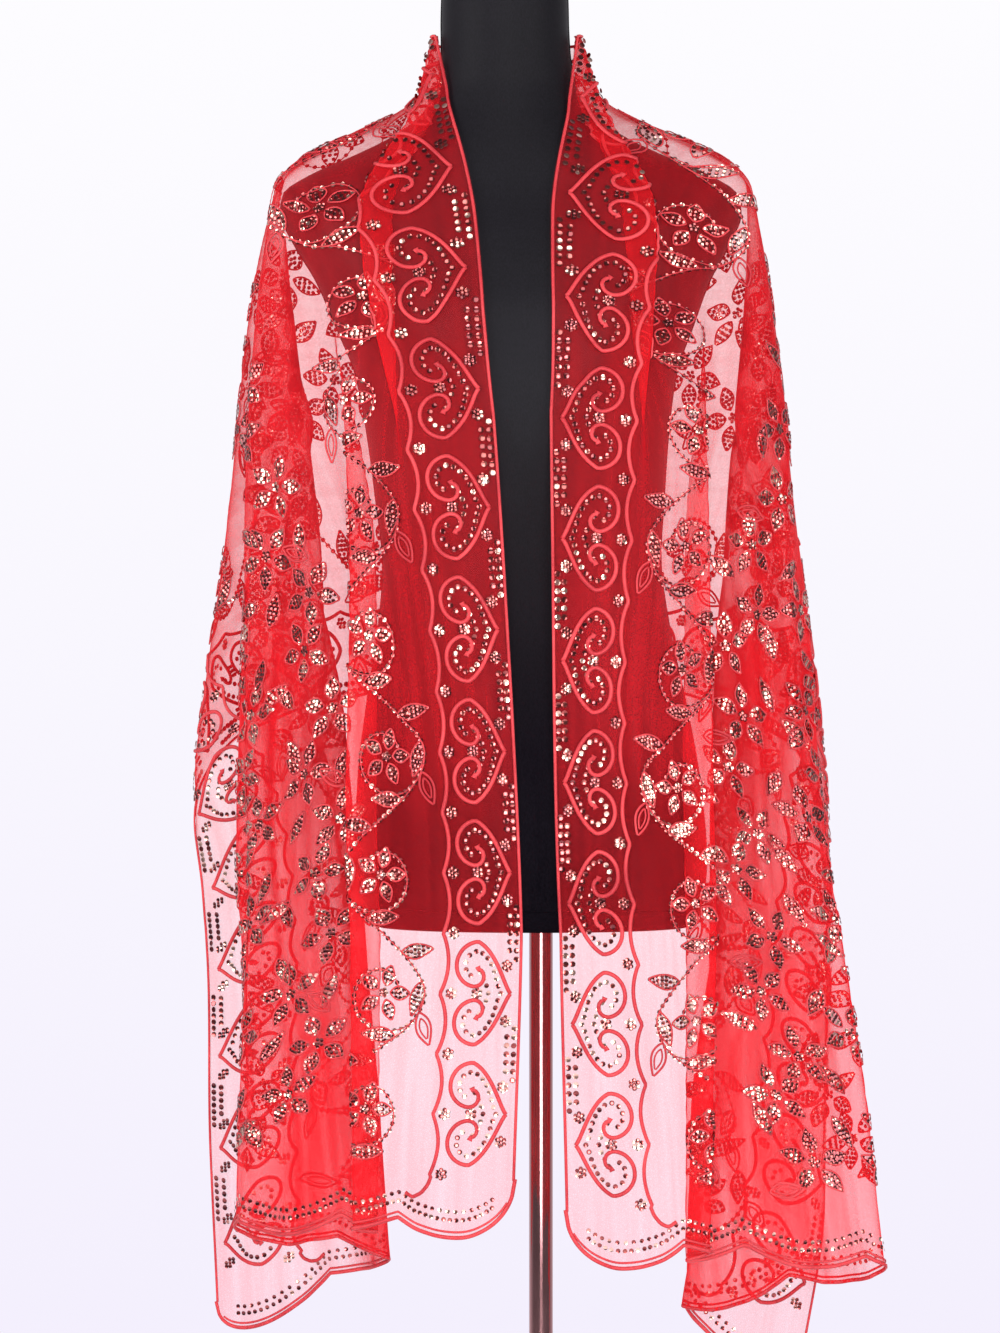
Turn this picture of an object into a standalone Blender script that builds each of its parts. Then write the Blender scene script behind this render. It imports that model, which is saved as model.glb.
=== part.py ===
"""Evening stole of soft net, hung over a limbless dress form on a pole and a round base.

Metres, +Z up, front towards -Y. The origin is on the floor, on the pole's axis.

The stole is one rectangle of net, 2.17 m by 0.56 m. A point of it is named by u, the distance along the
length from the centre of the back (left is negative), and v, the distance from the neck edge. The neck edge
wraps the back of the neck, so the cloth falls in rings round that edge. Each ring is one smooth curve in
space, from the front edge round the sleeve-like folds to the centre of the back.
"""

import math

import bpy
import numpy as np

# The cut of the stole
STOLE_LENGTH = 2.17
STOLE_WIDTH = 0.56
NECK_WRAP = 0.09
# The stole hangs this much further to the right than its middle
SHIFT_TO_RIGHT = 0.012
SCALLOPS = 6
SCALLOP_DEPTH = 0.015
CORNER_RADIUS = STOLE_WIDTH / SCALLOPS / 2.0
CORNER_STEPS = 3
LOBE_STEPS = 6
EDGE_CORD_WIDTH = 0.003
EDGE_CORD_THICKNESS = 0.0018
NET_WALL = 0.0012
SEAM_GAP = 0.0003
CORD_GAP = 0.0017
CORD_END_GAP = 0.0006
STRETCH_GAP = 0.0013
CLOTH_CLEARANCE = 0.0031

# Where along the length one stretch of net ends and the next begins
BACK_STRETCH_END = 0.20
SHOULDER_STRETCH_END = 0.50

# The drape. Each row is one line of the drape and each column a distance from the neck edge along the cloth.
DROP_COLUMNS = {"neck": 0.0, "collar": 0.06, "shoulder": 0.18, "waist": 0.46, "corner": 0.70, "hem": 0.96}
DROPS = tuple(DROP_COLUMNS.values())
OUT_LEFT = {
    # metres out from the centre line at the neck, collar, shoulder, waist, corner and hem
    "front_edge": (0.055, 0.047, 0.029, 0.018, 0.015, 0.022),
    "lapel": (0.057, 0.063, 0.108, 0.090, 0.087, 0.090),
    "narrow_tuck": (0.058, 0.068, 0.150, 0.128, 0.137, 0.137),
    "fold_one": (0.059, 0.071, 0.189, 0.224, 0.236, 0.242),
    "fold_two": (0.060, 0.072, 0.183, 0.165, 0.149, 0.130),
    "fold_three": (0.060, 0.071, 0.191, 0.244, 0.281, 0.284),
    "back_fold": (0.052, 0.064, 0.170, 0.218, 0.235, 0.235),
    "back_tuck": (0.044, 0.052, 0.145, 0.170, 0.170, 0.170),
    "back_side": (0.030, 0.034, 0.100, 0.110, 0.110, 0.110),
}
OUT_RIGHT = {
    "front_edge": (0.055, 0.047, 0.028, 0.018, 0.013, 0.018),
    "lapel": (0.057, 0.063, 0.097, 0.090, 0.085, 0.085),
    "narrow_tuck": (0.058, 0.068, 0.150, 0.131, 0.124, 0.121),
    "fold_one": (0.059, 0.071, 0.190, 0.213, 0.224, 0.258),
    "fold_two": (0.060, 0.072, 0.187, 0.160, 0.140, 0.120),
    "fold_three": (0.060, 0.071, 0.193, 0.222, 0.239, 0.230),
    "back_fold": (0.052, 0.064, 0.170, 0.205, 0.215, 0.210),
    "back_tuck": (0.044, 0.052, 0.145, 0.165, 0.165, 0.165),
    "back_side": (0.030, 0.034, 0.100, 0.110, 0.110, 0.110),
}
DEPTH_LEFT = {
    # metres behind the pole's axis at the same places
    "front_edge": (-0.012, -0.036, -0.085, -0.124, -0.116, -0.108),
    "lapel": (-0.004, -0.030, -0.078, -0.128, -0.121, -0.113),
    "narrow_tuck": (0.006, -0.014, -0.052, -0.104, -0.106, -0.100),
    "fold_one": (0.018, -0.002, -0.030, -0.030, -0.026, -0.020),
    "fold_two": (0.028, 0.010, -0.008, 0.008, 0.022, 0.026),
    "fold_three": (0.036, 0.022, 0.022, 0.070, 0.100, 0.112),
    "back_fold": (0.046, 0.042, 0.052, 0.142, 0.160, 0.160),
    "back_tuck": (0.054, 0.056, 0.070, 0.086, 0.096, 0.100),
    "back_side": (0.060, 0.068, 0.092, 0.132, 0.138, 0.138),
}
DEPTH_RIGHT = {
    **DEPTH_LEFT,
    "fold_one": (0.018, -0.002, -0.030, -0.034, -0.044, -0.052),
    "fold_two": (0.028, 0.010, -0.008, 0.004, 0.000, -0.016),
    "fold_three": (0.036, 0.022, 0.022, 0.066, 0.072, 0.042),
}
BACK_DEPTH = (0.066, 0.074, 0.098, 0.118, 0.120, 0.120)
RISE = {
    # metres higher than the front edge at the same places
    "front_edge": (0.0, 0.0, 0.0, 0.0, 0.0, 0.0),
    "lapel": (0.0, 0.0, 0.004, 0.004, 0.004, 0.004),
    "narrow_tuck": (0.0, 0.003, 0.015, 0.015, 0.015, 0.015),
    "fold_one": (0.0, 0.006, 0.030, 0.030, 0.030, 0.030),
    "fold_two": (0.0, 0.006, 0.032, 0.034, 0.036, 0.044),
    "fold_three": (0.0, 0.006, 0.032, 0.036, 0.030, 0.026),
    "back_fold": (0.0, 0.004, 0.020, 0.024, 0.020, 0.020),
    "back_tuck": (0.0, 0.003, 0.012, 0.008, 0.0, 0.0),
    "back_side": (0.0, 0.002, 0.008, 0.006, 0.004, 0.004),
}
BACK_RISE = (0.0, 0.002, 0.006, 0.006, 0.006, 0.006)
# Half the depth of the round lip of each large fold
LIP = {"fold_one": 0.013, "fold_two": 0.011, "fold_three": 0.014}
LEAST_LIP = 0.003
LIP_GROWS_OVER = 0.40
# Half the width of the level stretch at the centre of the back
BACK_FLAT = 0.035
# A tuck doubles the cloth back on itself: half its overlap at each column
TUCK_OVERLAP = {
    "lapel": (0.002, 0.006, 0.011, 0.0, 0.0, 0.0),
    "narrow_tuck": (0.0, 0.0, 0.0, 0.009, 0.010, 0.009),
}
TUCK_SPREAD = 0.008
TUCK_LAYER_GAP = 0.005
TUCK_SHARE = 0.15
# Height of the front edge at each distance from the neck edge, and how much of its width the cloth keeps
FALL_AT = (0.0, 0.153, 0.263, 0.60, 0.96)
FALL_HEIGHT = (1.531, 1.400, 1.298, 0.964, 0.606)
EASE_AT = (0.65, 0.80, 0.96, 1.11)
EASE = {"left": (0.865, 0.92, 0.98, 1.02), "right": (0.825, 0.90, 0.985, 1.03)}

# The grid of the net's wall
BACK_ROWS = 19
SHOULDER_ROWS = 12
FRONT_ROWS = 12
RING_SAMPLES = 240
RING_LEVELS = 150
BEND_STEPS = 16
LEAST_LEANING = 0.40
FULL_DROP = 1.19

# The dress form: sections from the flat underside to the top of the neck
FORM_FOOT_HEIGHT = 0.820
LEAN_TOP_HEIGHT = 1.54
FORM_LEAN = (-0.006, -0.029)
CLOTH_LEAN = (0.0, -0.028)
FORM_SECTIONS = (
    # height, half width, front depth, back depth, squareness
    (0.820, 0.126, 0.094, 0.096, 2.2),
    (0.832, 0.135, 0.100, 0.104, 2.2),
    (0.880, 0.140, 0.104, 0.112, 2.2),
    (0.940, 0.136, 0.103, 0.112, 2.2),
    (1.000, 0.127, 0.098, 0.100, 2.2),
    (1.060, 0.116, 0.092, 0.084, 2.2),
    (1.110, 0.111, 0.091, 0.076, 2.2),
    (1.160, 0.115, 0.099, 0.080, 2.2),
    (1.210, 0.120, 0.110, 0.087, 2.3),
    (1.260, 0.128, 0.118, 0.092, 2.3),
    (1.300, 0.143, 0.115, 0.094, 2.3),
    (1.335, 0.157, 0.104, 0.094, 2.3),
    (1.365, 0.174, 0.092, 0.090, 2.2),
    (1.390, 0.184, 0.080, 0.083, 2.1),
    (1.405, 0.181, 0.074, 0.078, 2.0),
    (1.420, 0.159, 0.069, 0.073, 2.0),
    (1.436, 0.122, 0.064, 0.068, 2.0),
    (1.452, 0.090, 0.059, 0.063, 2.0),
    (1.470, 0.067, 0.054, 0.058, 2.0),
    (1.492, 0.055, 0.050, 0.054, 2.0),
    (1.520, 0.051, 0.049, 0.052, 2.0),
    (1.562, 0.050, 0.049, 0.051, 2.0),
    (1.570, 0.044, 0.043, 0.045, 2.0),
)
FORM_SIDES = 40

# The stand
POLE_RADIUS = 0.0095
POLE_SINK = 0.060
SOCKET_RADIUS = POLE_RADIUS + SEAM_GAP
COLLAR_RADIUS = 0.020
COLLAR_HEIGHT = 0.045
BASE_RADIUS = 0.150
BASE_HEIGHT = 0.014
BASE_EDGE = 0.004
ROUND_SIDES = 40


def clear_scene():
    for thing in list(bpy.data.objects):
        bpy.data.objects.remove(thing, do_unlink=True)


def make_material(name, colour, roughness, metallic):
    material = bpy.data.materials.new(name)
    material.use_nodes = True
    shader = material.node_tree.nodes["Principled BSDF"]
    shader.inputs["Base Color"].default_value = (*colour, 1.0)
    shader.inputs["Roughness"].default_value = roughness
    shader.inputs["Metallic"].default_value = metallic
    return material


def make_object(name, points, faces, material):
    mesh = bpy.data.meshes.new(name)
    mesh.from_pydata([tuple(point) for point in points], [], faces)
    mesh.materials.append(material)
    mesh.shade_smooth()
    thing = bpy.data.objects.new(name, mesh)
    bpy.context.scene.collection.objects.link(thing)
    return thing


def smooth_step(value):
    value = np.clip(value, 0.0, 1.0)
    return value * value * (3.0 - 2.0 * value)


def smooth_row(knots, values, at):
    """A smooth curve through the values at the knots, straight beyond both ends."""
    knots = np.asarray(knots, float)
    values = np.asarray(values, float)
    at = np.asarray(at, float)
    steep = np.diff(values) / np.diff(knots)
    before, after = steep[:-1], steep[1:]
    total = np.where(before * after > 0.0, before + after, 1.0)
    level = np.where(before * after > 0.0, 2.0 * before * after / total, 0.0)
    slopes = np.concatenate([steep[:1], level, steep[-1:]])
    held = np.clip(at, knots[0], knots[-1])
    index = np.clip(np.searchsorted(knots, held, side="right") - 1, 0, len(knots) - 2)
    span = knots[index + 1] - knots[index]
    t = (held - knots[index]) / span
    inside = (
        (2 * t**3 - 3 * t**2 + 1) * values[index]
        + (t**3 - 2 * t**2 + t) * span * slopes[index]
        + (3 * t**2 - 2 * t**3) * values[index + 1]
        + (t**3 - t**2) * span * slopes[index + 1]
    )
    beyond = np.where(at > knots[-1], slopes[-1], slopes[0]) * (at - held)
    return inside + beyond


def centre_line(height, lean):
    share = np.clip((height - FORM_FOOT_HEIGHT) / (LEAN_TOP_HEIGHT - FORM_FOOT_HEIGHT), 0.0, 1.0)
    return lean[0] + (lean[1] - lean[0]) * share


def form_sections_at(height):
    """Half width, front depth, back depth and squareness of the form at each height."""
    table = np.array(FORM_SECTIONS)
    return [np.interp(height, table[:, 0], table[:, column]) for column in range(1, 5)]


def form_distance(points):
    """How far each point lies outside the form's surface. Far below the form it is large."""
    height = points[:, 2]
    half_width, front, back, squareness = form_sections_at(height)
    across = points[:, 0] - centre_line(height, FORM_LEAN)
    depth = np.where(points[:, 1] < 0.0, front, back)
    norm = (np.abs(across / half_width) ** squareness + np.abs(points[:, 1] / depth) ** squareness) ** (
        1.0 / squareness
    )
    outwards = (norm - 1.0) * np.sqrt(half_width * depth)
    below = FORM_FOOT_HEIGHT - height
    return np.where(below > 0.0, np.maximum(outwards, below), outwards)


def push_clear(points, clearance):
    """Moves points that lie in the form, or nearer than the clearance, straight out of it."""
    probe = 0.001
    for _ in range(4):
        distance = form_distance(points)
        slope = np.stack(
            [(form_distance(points + probe * axis) - distance) / probe for axis in np.eye(3)], axis=1
        )
        steepness = np.maximum(np.linalg.norm(slope, axis=1), 0.5)
        missing = np.maximum(clearance - distance / steepness, 0.0)
        points = points + slope * (missing / steepness)[:, None]
    return points


def tuck_controls(name, out, depth, overlap, spread):
    """Four control points that double the cloth back on itself at a tuck."""
    layer = TUCK_LAYER_GAP * spread / TUCK_SPREAD
    return [
        (name, out - 1.5 * spread + 2.0 * overlap, depth - layer),
        (name, out - 0.5 * spread + 2.0 * overlap, depth - 0.2 * layer),
        (name, out + 0.5 * spread - 2.0 * overlap, depth + 0.2 * layer),
        (name, out + 1.5 * spread - 2.0 * overlap, depth + layer),
    ]


def ring_controls(out_table, depth_table, drop, side_sign, tuck_share):
    """Control points of the ring at one distance from the neck edge, from the front edge to the centre back."""
    fall = float(smooth_row(FALL_AT, FALL_HEIGHT, drop))
    lines = []
    for name in out_table:
        out = float(smooth_row(DROPS, out_table[name], drop))
        depth = float(smooth_row(DROPS, depth_table[name], drop))
        if name in TUCK_OVERLAP:
            overlap = tuck_share * max(0.0, float(smooth_row(DROPS, TUCK_OVERLAP[name], drop)))
            spread = TUCK_SPREAD * float(smooth_step(drop / DROP_COLUMNS["shoulder"]))
            lines += tuck_controls(name, out, depth, overlap, spread)
        elif name in LIP:
            lip = LEAST_LIP + LIP[name] * float(smooth_step(drop / LIP_GROWS_OVER))
            lines += [(name, out, depth - lip), (name, out, depth + lip)]
        else:
            lines.append((name, out, depth))
    controls = []
    for name, out, depth in lines:
        height = fall + float(smooth_row(DROPS, RISE[name], drop))
        controls.append((side_sign * out + centre_line(height, CLOTH_LEAN), depth, height))
    height = fall + float(smooth_row(DROPS, BACK_RISE, drop))
    back = float(smooth_row(DROPS, BACK_DEPTH, drop))
    middle = centre_line(height, CLOTH_LEAN)
    controls.append((side_sign * BACK_FLAT + middle, back, height))
    controls.append((middle, back, height))
    return np.array(controls)


def bend_through(controls, samples):
    """A quadratic B-spline over the control points, evenly sampled by length, and its length."""
    middles = (controls[1:] + controls[:-1]) / 2.0
    starts = np.vstack([controls[:1], middles[1:-1]])
    ends = np.vstack([middles[1:-1], controls[-1:]])
    corners = controls[1:-1]
    t = np.linspace(0.0, 1.0, BEND_STEPS, endpoint=False)[:, None]
    curve = [(1 - t) ** 2 * a + 2 * t * (1 - t) * b + t**2 * c for a, b, c in zip(starts, corners, ends)]
    curve = np.vstack([*curve, controls[-1:]])
    steps = np.linalg.norm(np.diff(curve, axis=0), axis=1)
    travelled = np.concatenate([[0.0], np.cumsum(steps)])
    wanted = np.linspace(0.0, travelled[-1], samples)
    even = np.stack([np.interp(wanted, travelled, curve[:, axis]) for axis in range(3)], axis=1)
    return even, travelled[-1]


class HalfDrape:
    """One half of the hung cloth, which answers where a point of the flat stole lies."""

    def __init__(self, out_table, depth_table, side_sign, ease, tuck_share):
        self.drops = np.linspace(0.0, FULL_DROP, RING_LEVELS)
        rings = [
            bend_through(ring_controls(out_table, depth_table, drop, side_sign, tuck_share), RING_SAMPLES)
            for drop in self.drops
        ]
        self.rings = np.array([ring for ring, _ in rings])
        lengths = np.array([length for _, length in rings])
        material = self.drops * math.pi / 2.0 + NECK_WRAP
        shares = lengths / material
        at_edge = float(np.interp(STOLE_WIDTH, self.drops, shares))
        knots = (STOLE_WIDTH, *EASE_AT)
        self.ease = np.where(self.drops <= STOLE_WIDTH, shares, smooth_row(knots, (at_edge, *ease), self.drops))
        self.lengths = lengths

    def place(self, u, v):
        along = np.abs(u) - NECK_WRAP
        drop = np.where(along > 0.0, np.hypot(along, v), v)
        angle = np.arctan2(v, np.maximum(along, 1e-9))
        behind_neck = np.maximum(-along, 0.0)
        travelled = np.where(along > 0.0, drop * angle, drop * math.pi / 2.0 + behind_neck)
        ease = np.interp(drop, self.drops, self.ease)
        length = np.interp(drop, self.drops, self.lengths)
        share = np.clip(travelled * ease / length, 0.0, 1.0)
        row = drop / FULL_DROP * (RING_LEVELS - 1)
        column = share * (RING_SAMPLES - 1)
        low_row = np.clip(row.astype(int), 0, RING_LEVELS - 2)
        low_column = np.clip(column.astype(int), 0, RING_SAMPLES - 2)
        row_share = (row - low_row)[:, None]
        column_share = (column - low_column)[:, None]
        near = self.rings[low_row, low_column] * (1 - column_share)
        near = near + self.rings[low_row, low_column + 1] * column_share
        far = self.rings[low_row + 1, low_column] * (1 - column_share)
        far = far + self.rings[low_row + 1, low_column + 1] * column_share
        return near * (1 - row_share) + far * row_share


class Drape:
    """The whole hung cloth."""

    def __init__(self, tuck_share):
        self.left = HalfDrape(OUT_LEFT, DEPTH_LEFT, -1.0, EASE["left"], tuck_share)
        self.right = HalfDrape(OUT_RIGHT, DEPTH_RIGHT, 1.0, EASE["right"], tuck_share)

    def place(self, u, v):
        hung = np.asarray(u, float) + SHIFT_TO_RIGHT
        v = np.asarray(v, float)
        points = np.where((hung < 0.0)[:, None], self.left.place(hung, v), self.right.place(hung, v))
        return push_clear(points, CLOTH_CLEARANCE)


def hem_curve():
    """The outer line of the scalloped end as u and v, with its inward direction at each point."""
    turns = np.linspace(0.0, math.pi / 2.0, CORNER_STEPS + 1)
    corner_v = CORNER_RADIUS * (1.0 - np.cos(turns))
    corner_u = CORNER_RADIUS * (1.0 - np.sin(turns))
    lobe_v = np.linspace(0.0, STOLE_WIDTH, SCALLOPS * LOBE_STEPS + 1)
    half_lobe = LOBE_STEPS // 2
    lobe_v = lobe_v[half_lobe + 1 : -half_lobe - 1]
    lobe_u = SCALLOP_DEPTH * (1.0 - np.abs(np.sin(math.pi * SCALLOPS * lobe_v / STOLE_WIDTH)))
    v = np.concatenate([corner_v, lobe_v, STOLE_WIDTH - corner_v[::-1]])
    u = STOLE_LENGTH / 2.0 - np.concatenate([corner_u, lobe_u, corner_u[::-1]])
    along_u = np.gradient(u)
    along_v = np.gradient(v)
    length = np.hypot(along_u, along_v)
    inward = np.stack([-along_v / length, along_u / length], axis=1)
    inward[0] = (0.0, 1.0)
    inward[-1] = (0.0, -1.0)
    return np.stack([u, v], axis=1), inward


def corner_triangles(points, rows, columns):
    """Two triangles for each square of a grid, split along its shorter diagonal."""
    triangles = []
    for row in range(rows - 1):
        for column in range(columns - 1):
            a = row * columns + column
            b, c, d = a + columns, a + columns + 1, a + 1
            if np.linalg.norm(points[a] - points[c]) <= np.linalg.norm(points[b] - points[d]):
                triangles += [(a, b, c), (a, c, d)]
            else:
                triangles += [(a, b, d), (b, c, d)]
    return np.array(triangles)


def wall_offsets(points, triangles, thickness):
    """How far each point moves so that the skin lies half a wall away from all the triangles round it."""
    corners = points[triangles]
    squares = np.cross(corners[:, 1] - corners[:, 0], corners[:, 2] - corners[:, 0])
    faces = squares / np.linalg.norm(squares, axis=1)[:, None]
    normal = np.zeros_like(points)
    for corner in range(3):
        one = corners[:, (corner + 1) % 3] - corners[:, corner]
        other = corners[:, (corner + 2) % 3] - corners[:, corner]
        cosine = np.sum(one * other, axis=1)
        cosine = cosine / (np.linalg.norm(one, axis=1) * np.linalg.norm(other, axis=1))
        angle = np.arccos(np.clip(cosine, -1.0, 1.0))
        np.add.at(normal, triangles[:, corner], faces * angle[:, None])
    normal = normal / np.linalg.norm(normal, axis=1)[:, None]
    leaning = np.ones(len(points))
    for corner in range(3):
        along = np.sum(normal[triangles[:, corner]] * faces, axis=1)
        np.minimum.at(leaning, triangles[:, corner], along)
    return normal * (thickness / 2.0 / np.maximum(leaning, LEAST_LEANING))[:, None]


def cloth_wall(name, drape, u_grid, v_grid, thickness, material):
    """A closed wall over a grid of points of the flat stole: two skins and the rim between them."""
    rows, columns = u_grid.shape
    middle = drape.place(u_grid.ravel(), v_grid.ravel())
    triangles = corner_triangles(middle, rows, columns)
    offset = wall_offsets(middle, triangles, thickness)
    points = np.concatenate([middle + offset, middle - offset])
    skin = rows * columns
    faces = [tuple(triangle) for triangle in triangles]
    faces += [tuple(skin + index for index in reversed(triangle)) for triangle in triangles]
    border = [column for column in range(columns)]
    border += [row * columns + columns - 1 for row in range(1, rows)]
    border += [(rows - 1) * columns + column for column in range(columns - 2, -1, -1)]
    border += [row * columns for row in range(rows - 2, 0, -1)]
    for here, after in zip(border, border[1:] + border[:1]):
        faces.append((here, after, skin + after))
        faces.append((here, skin + after, skin + here))
    return make_object(name, points, faces, material)


def stretch_grid(start, end, rows, to_hem):
    """Rows and columns of the flat stole between two distances from the centre back."""
    outer, inward = hem_curve()
    last = outer + (EDGE_CORD_WIDTH + CORD_GAP) * inward
    v_line = outer[:, 1].copy()
    v_line[[0, -1]] = last[[0, -1], 1]
    if not to_hem:
        last = np.stack([np.full_like(v_line, end), v_line], axis=1)
    share = np.linspace(0.0, 1.0, rows)[:, None]
    u_grid = start + (last[:, 0] - start) * share
    v_grid = v_line + (last[:, 1] - v_line) * share
    return u_grid, v_grid


def build_net(drape, material):
    half_gap = STRETCH_GAP / 2.0
    back_u, back_v = stretch_grid(-BACK_STRETCH_END + half_gap, BACK_STRETCH_END - half_gap, BACK_ROWS, False)
    cloth_wall("net_back", drape, back_u, back_v, NET_WALL, material)
    for side, sign in (("left", -1.0), ("right", 1.0)):
        u_grid, v_grid = stretch_grid(
            BACK_STRETCH_END + half_gap, SHOULDER_STRETCH_END - half_gap, SHOULDER_ROWS, False
        )
        cloth_wall(f"net_shoulder_{side}", drape, sign * u_grid, v_grid, NET_WALL, material)
        u_grid, v_grid = stretch_grid(SHOULDER_STRETCH_END + half_gap, STOLE_LENGTH / 2.0, FRONT_ROWS, True)
        cloth_wall(f"net_front_{side}", drape, sign * u_grid, v_grid, NET_WALL, material)


def length_rows():
    """The rows of the net along the whole length, which the long edge cords follow."""
    corner = STOLE_LENGTH / 2.0 - CORNER_RADIUS - CORD_END_GAP
    front = np.linspace(SHOULDER_STRETCH_END, corner, FRONT_ROWS)
    shoulder = np.linspace(BACK_STRETCH_END, SHOULDER_STRETCH_END, SHOULDER_ROWS)[:-1]
    back = np.linspace(0.0, BACK_STRETCH_END, BACK_ROWS // 2 + 1)[:-1]
    half = np.concatenate([back, shoulder, front])
    return np.concatenate([-half[:0:-1], half])


def build_edge_cords(drape, material):
    rows = length_rows()
    for name, near in (("edge_cord_neck", 0.0), ("edge_cord_lower", STOLE_WIDTH - EDGE_CORD_WIDTH)):
        u_grid = np.repeat(rows[:, None], 2, axis=1)
        v_grid = np.repeat(np.array([[near, near + EDGE_CORD_WIDTH]]), len(rows), axis=0)
        cloth_wall(name, drape, u_grid, v_grid, EDGE_CORD_THICKNESS, material)
    outer, inward = hem_curve()
    inner = outer + EDGE_CORD_WIDTH * inward
    u_grid = np.stack([inner[:, 0], outer[:, 0]])
    v_grid = np.stack([inner[:, 1], outer[:, 1]])
    for side, sign in (("left", -1.0), ("right", 1.0)):
        cloth_wall(f"hem_cord_{side}", drape, sign * u_grid, v_grid, EDGE_CORD_THICKNESS, material)


def ring_of_section(section):
    height, half_width, front, back, squareness = section
    points = []
    for step in range(FORM_SIDES):
        angle = 2.0 * math.pi * step / FORM_SIDES
        cosine, sine = math.cos(angle), math.sin(angle)
        depth = front if sine < 0.0 else back
        across = math.copysign(abs(cosine) ** (2.0 / squareness), cosine) * half_width
        along = math.copysign(abs(sine) ** (2.0 / squareness), sine) * depth
        points.append((across + float(centre_line(height, FORM_LEAN)), along, height))
    return points


def loft(rings):
    """Points and faces of a closed body through rings of equal count, with flat ends."""
    count = len(rings[0])
    points = [point for ring in rings for point in ring]
    faces = [tuple(reversed(range(count)))]
    for level in range(len(rings) - 1):
        for step in range(count):
            after = (step + 1) % count
            low = level * count
            high = low + count
            faces.append((low + step, low + after, high + after, high + step))
    faces.append(tuple(range((len(rings) - 1) * count, len(rings) * count)))
    return points, faces


def round_ring(radius, height):
    turns = [2.0 * math.pi * step / ROUND_SIDES for step in range(ROUND_SIDES)]
    return [(radius * math.cos(turn), radius * math.sin(turn), height) for turn in turns]


def build_form(material):
    points, faces = loft([ring_of_section(section) for section in FORM_SECTIONS])
    form = make_object("form_torso", points, faces, material)
    socket_top = FORM_FOOT_HEIGHT + POLE_SINK
    rings = [round_ring(SOCKET_RADIUS, FORM_FOOT_HEIGHT - 0.01), round_ring(SOCKET_RADIUS, socket_top)]
    points, faces = loft(rings)
    cutter = make_object("form_socket_cutter", points, faces, material)
    cutter.hide_render = True
    cutter.display_type = "WIRE"
    socket = form.modifiers.new("socket", "BOOLEAN")
    socket.operation = "DIFFERENCE"
    socket.object = cutter


def build_stand(chrome):
    rings = [
        round_ring(BASE_RADIUS, 0.0),
        round_ring(BASE_RADIUS, BASE_HEIGHT - BASE_EDGE),
        round_ring(BASE_RADIUS - BASE_EDGE, BASE_HEIGHT),
    ]
    make_object("stand_base", *loft(rings), chrome)
    collar_foot = BASE_HEIGHT + SEAM_GAP
    rings = [
        round_ring(COLLAR_RADIUS, collar_foot),
        round_ring(COLLAR_RADIUS, collar_foot + COLLAR_HEIGHT * 0.35),
        round_ring(POLE_RADIUS, collar_foot + COLLAR_HEIGHT),
        round_ring(POLE_RADIUS, FORM_FOOT_HEIGHT + POLE_SINK - SEAM_GAP),
    ]
    make_object("stand_pole", *loft(rings), chrome)


def main():
    clear_scene()
    net = make_material("red_net", (0.68, 0.03, 0.05), 0.6, 0.0)
    cord = make_material("red_cord", (0.42, 0.02, 0.03), 0.45, 0.0)
    black = make_material("form_black", (0.02, 0.018, 0.02), 0.6, 0.0)
    chrome = make_material("chrome", (0.75, 0.75, 0.76), 0.12, 1.0)
    drape = Drape(TUCK_SHARE)
    build_net(drape, net)
    build_edge_cords(drape, cord)
    build_form(black)
    build_stand(chrome)


main()
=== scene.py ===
"""Looks of a sheer red evening stole on a limbless dress form.

Metres, +Z up, front towards -Y, origin on the floor under the pole. The cut and the drape repeat the named
sizes of the solids. A point of the flat stole is named by u, the distance along the length from the centre of
the back (left is negative), and v, the distance from the neck edge. All embroidery is laid out on the flat
stole and then carried onto the hung cloth.
"""

import math

import bpy
import numpy as np
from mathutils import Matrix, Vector


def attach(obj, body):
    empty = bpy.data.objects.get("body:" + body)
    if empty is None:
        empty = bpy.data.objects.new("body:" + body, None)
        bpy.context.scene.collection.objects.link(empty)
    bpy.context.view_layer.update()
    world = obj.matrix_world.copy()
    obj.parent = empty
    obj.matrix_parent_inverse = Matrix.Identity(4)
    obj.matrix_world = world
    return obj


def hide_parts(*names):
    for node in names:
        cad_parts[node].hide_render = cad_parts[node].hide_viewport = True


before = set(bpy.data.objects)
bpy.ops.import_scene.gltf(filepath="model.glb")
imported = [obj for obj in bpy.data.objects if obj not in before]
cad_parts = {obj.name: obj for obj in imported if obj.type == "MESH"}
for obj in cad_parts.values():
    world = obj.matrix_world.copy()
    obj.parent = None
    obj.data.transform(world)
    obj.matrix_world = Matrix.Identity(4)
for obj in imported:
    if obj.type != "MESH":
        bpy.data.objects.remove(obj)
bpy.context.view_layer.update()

# The cut of the stole, as in the solids
STOLE_LENGTH = 2.17
STOLE_WIDTH = 0.56
NECK_WRAP = 0.09
SHIFT_TO_RIGHT = 0.012
SCALLOPS = 6
SCALLOP_DEPTH = 0.015
CORNER_RADIUS = STOLE_WIDTH / SCALLOPS / 2.0
HEM = STOLE_LENGTH / 2.0

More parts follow.
